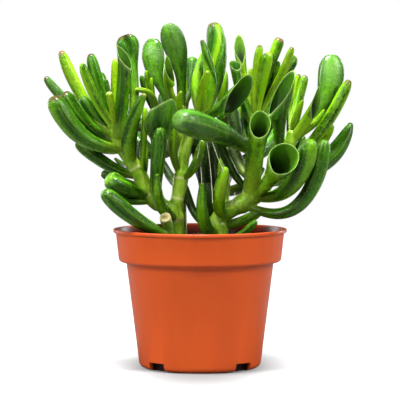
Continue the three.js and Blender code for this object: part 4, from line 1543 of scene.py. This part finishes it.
stub = make_stub()
print("stub faces:", len(stub.data.polygons))

# %% [markdown]
# ### Stem skin
# The skin is lime-green and smooth, with faint long streaks and corky dots. It browns near the soil,
# and pale rings show where old leaves dropped off. How close a point lies to such a ring is stored on
# the mesh.

# %% Scar rings
SCARS = [
    ("trunk_front", (-16.5, 102.5), 1.0), ("trunk_front", (-13, 131.8), 0.35),
    ("trunk_front", (-15.5, 117), 0.2), ("branch_left", (-35.5, 121.5), 0.3),
    ("trunk_right", (23, 111), 0.4),
    ("branch_left", (-44.5, 139), 0.25), ("branch_middle", (36.5, 136), 0.3),
    ("branch_right", (48, 131), 0.35), ("trunk_back_left", (-14, 112), 0.6),
    ("trunk_back_left", (-14, 134), 0.4), ("trunk_back_right", (15, 100), 0.6),
]
SCAR_WIDTH = 0.8
SCAR_REACH = 9


def store_scars(piece):
    """Keeps how pale and how brown each point is, from how near it lies to the plane of a ring."""
    points = read_points(piece.data) / MM
    pale = np.zeros(len(points))
    brown = np.zeros(len(points))
    for name, seen, strength in SCARS:
        line = stem_line(name)
        k = int(np.argmin(np.hypot(line[:, 0] - seen[0], line[:, 2] - seen[1])))
        run = unit(np.gradient(line, axis=0))[k]
        away = points - line[k]
        height = away @ run
        close = np.linalg.norm(away, axis=1) < SCAR_REACH
        ring = np.exp(-(height / SCAR_WIDTH) ** 2) * close
        pale = np.maximum(pale, ring)
        brown = np.maximum(brown, ring * strength)
    write_values(piece.data, "pale", pale)
    write_values(piece.data, "brown", brown)


def store_cut(piece, end):
    """The healed cut: brown in the middle and pale around it."""
    points = read_points(piece.data) / MM
    away = np.linalg.norm(points - end, axis=1)
    brown = 1 - ease(away, 1.5, 2.5)
    write_values(piece.data, "pale", (1 - ease(away, 3.9, 5.2)) * (1 - brown))
    write_values(piece.data, "brown", brown)


store_scars(stems)
store_cut(stub, stem_line("cut_stub")[-1])

# %% Stem material
def stem_skin(name, old, aged_tone, ring):
    material, place = new_material(name)
    pale, brown = stored(place.tree, "pale"), stored(place.tree, "brown")
    streaks = pattern(BLOTCHES, stretched(place, 1, 1, 0.15), 420.0)
    cloud = pattern(BLOTCHES, place, 110.0)
    dots = pattern(SPECKS, place, 480.0, Size=0.22)
    tone = mix(cloud, colour(104, 148, 20), colour(150, 182, 50))
    tone = mix(streaks * 0.5, tone, colour(60, 104, 10))
    low = spread(height_of(place), 104 * MM, 88 * MM)
    tone = mix(maths("MAXIMUM", low * 0.12, old), tone, aged_tone)
    tone = mix(pale * 0.7, tone, ring)
    tone = mix(brown * 0.7, tone, colour(104, 68, 38))
    tone = mix(dots * 0.35, tone, colour(206, 210, 160))
    ridge = pattern(SKIN, place, 1100.0) + brown * -0.6 + streaks * 0.3
    corky = maths("MAXIMUM", pale, brown, clamp=True)
    return finish_material(material, {
        "Base Color": tone, "Roughness": spread(cloud, 0, 1, 0.24, 0.4) + corky * 0.5,
        "Normal": bump(ridge, 0.35, 0.3), "Specular IOR Level": 0.3, "Subsurface Weight": 0.12,
        "Subsurface Radius": (0.6, 1.0, 0.2), "Subsurface Scale": 0.003})


stems.data.materials.append(stem_skin("stem_skin", 0.0, colour(128, 122, 70), colour(206, 212, 140)))
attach(stems, BODY)
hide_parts(*stem_names)
stub.data.materials.append(stem_skin("old_stem_skin", 0.75, colour(62, 100, 30), colour(186, 164, 124)))
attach(stub, BODY)
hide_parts("cut_stub")

# %% [markdown]
# ## Hair roots
# Thin pale air roots hang between the stems. Each is a fine bar along a slack line.

# %% Air roots
AIR_ROOTS = [
    ((4.5, -36, 158), (6.8, -37, 142), (8.7, -36, 116)), ((8, -37, 158), (12, -38, 147), (16, -36, 137)),
    ((0.6, -34, 140), (1, -35, 133), (1.4, -34, 124)), ((0.4, -34, 158), (-0.6, -34, 152), (-2, -33, 146)),
    ((24, -16, 122), (23, -17, 118), (21, -18, 113)), ((-50, -16, 131), (-46, -18, 127), (-42, -17, 121)),
]
AIR_ROOT_RADIUS = 0.17
AIR_ROOT_POINTS = 17


def make_air_roots():
    parts = []
    for points in AIR_ROOTS:
        centres = smooth_line(points, AIR_ROOT_POINTS - 1)
        parts.append(bar("air_root", centres, np.full(AIR_ROOT_POINTS, AIR_ROOT_RADIUS)))
    roots = joined(parts)
    roots.name = roots.data.name = "air_roots"
    return roots


def root_skin():
    material, place = new_material("root_skin")
    tone = mix(pattern(BLOTCHES, place, 300.0), colour(186, 196, 150), colour(222, 226, 196))
    return finish_material(material, {"Base Color": tone, "Roughness": 0.7})


air_roots = make_air_roots()
air_roots.data.materials.append(root_skin())
print("air root faces:", len(air_roots.data.polygons))
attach(air_roots, BODY)
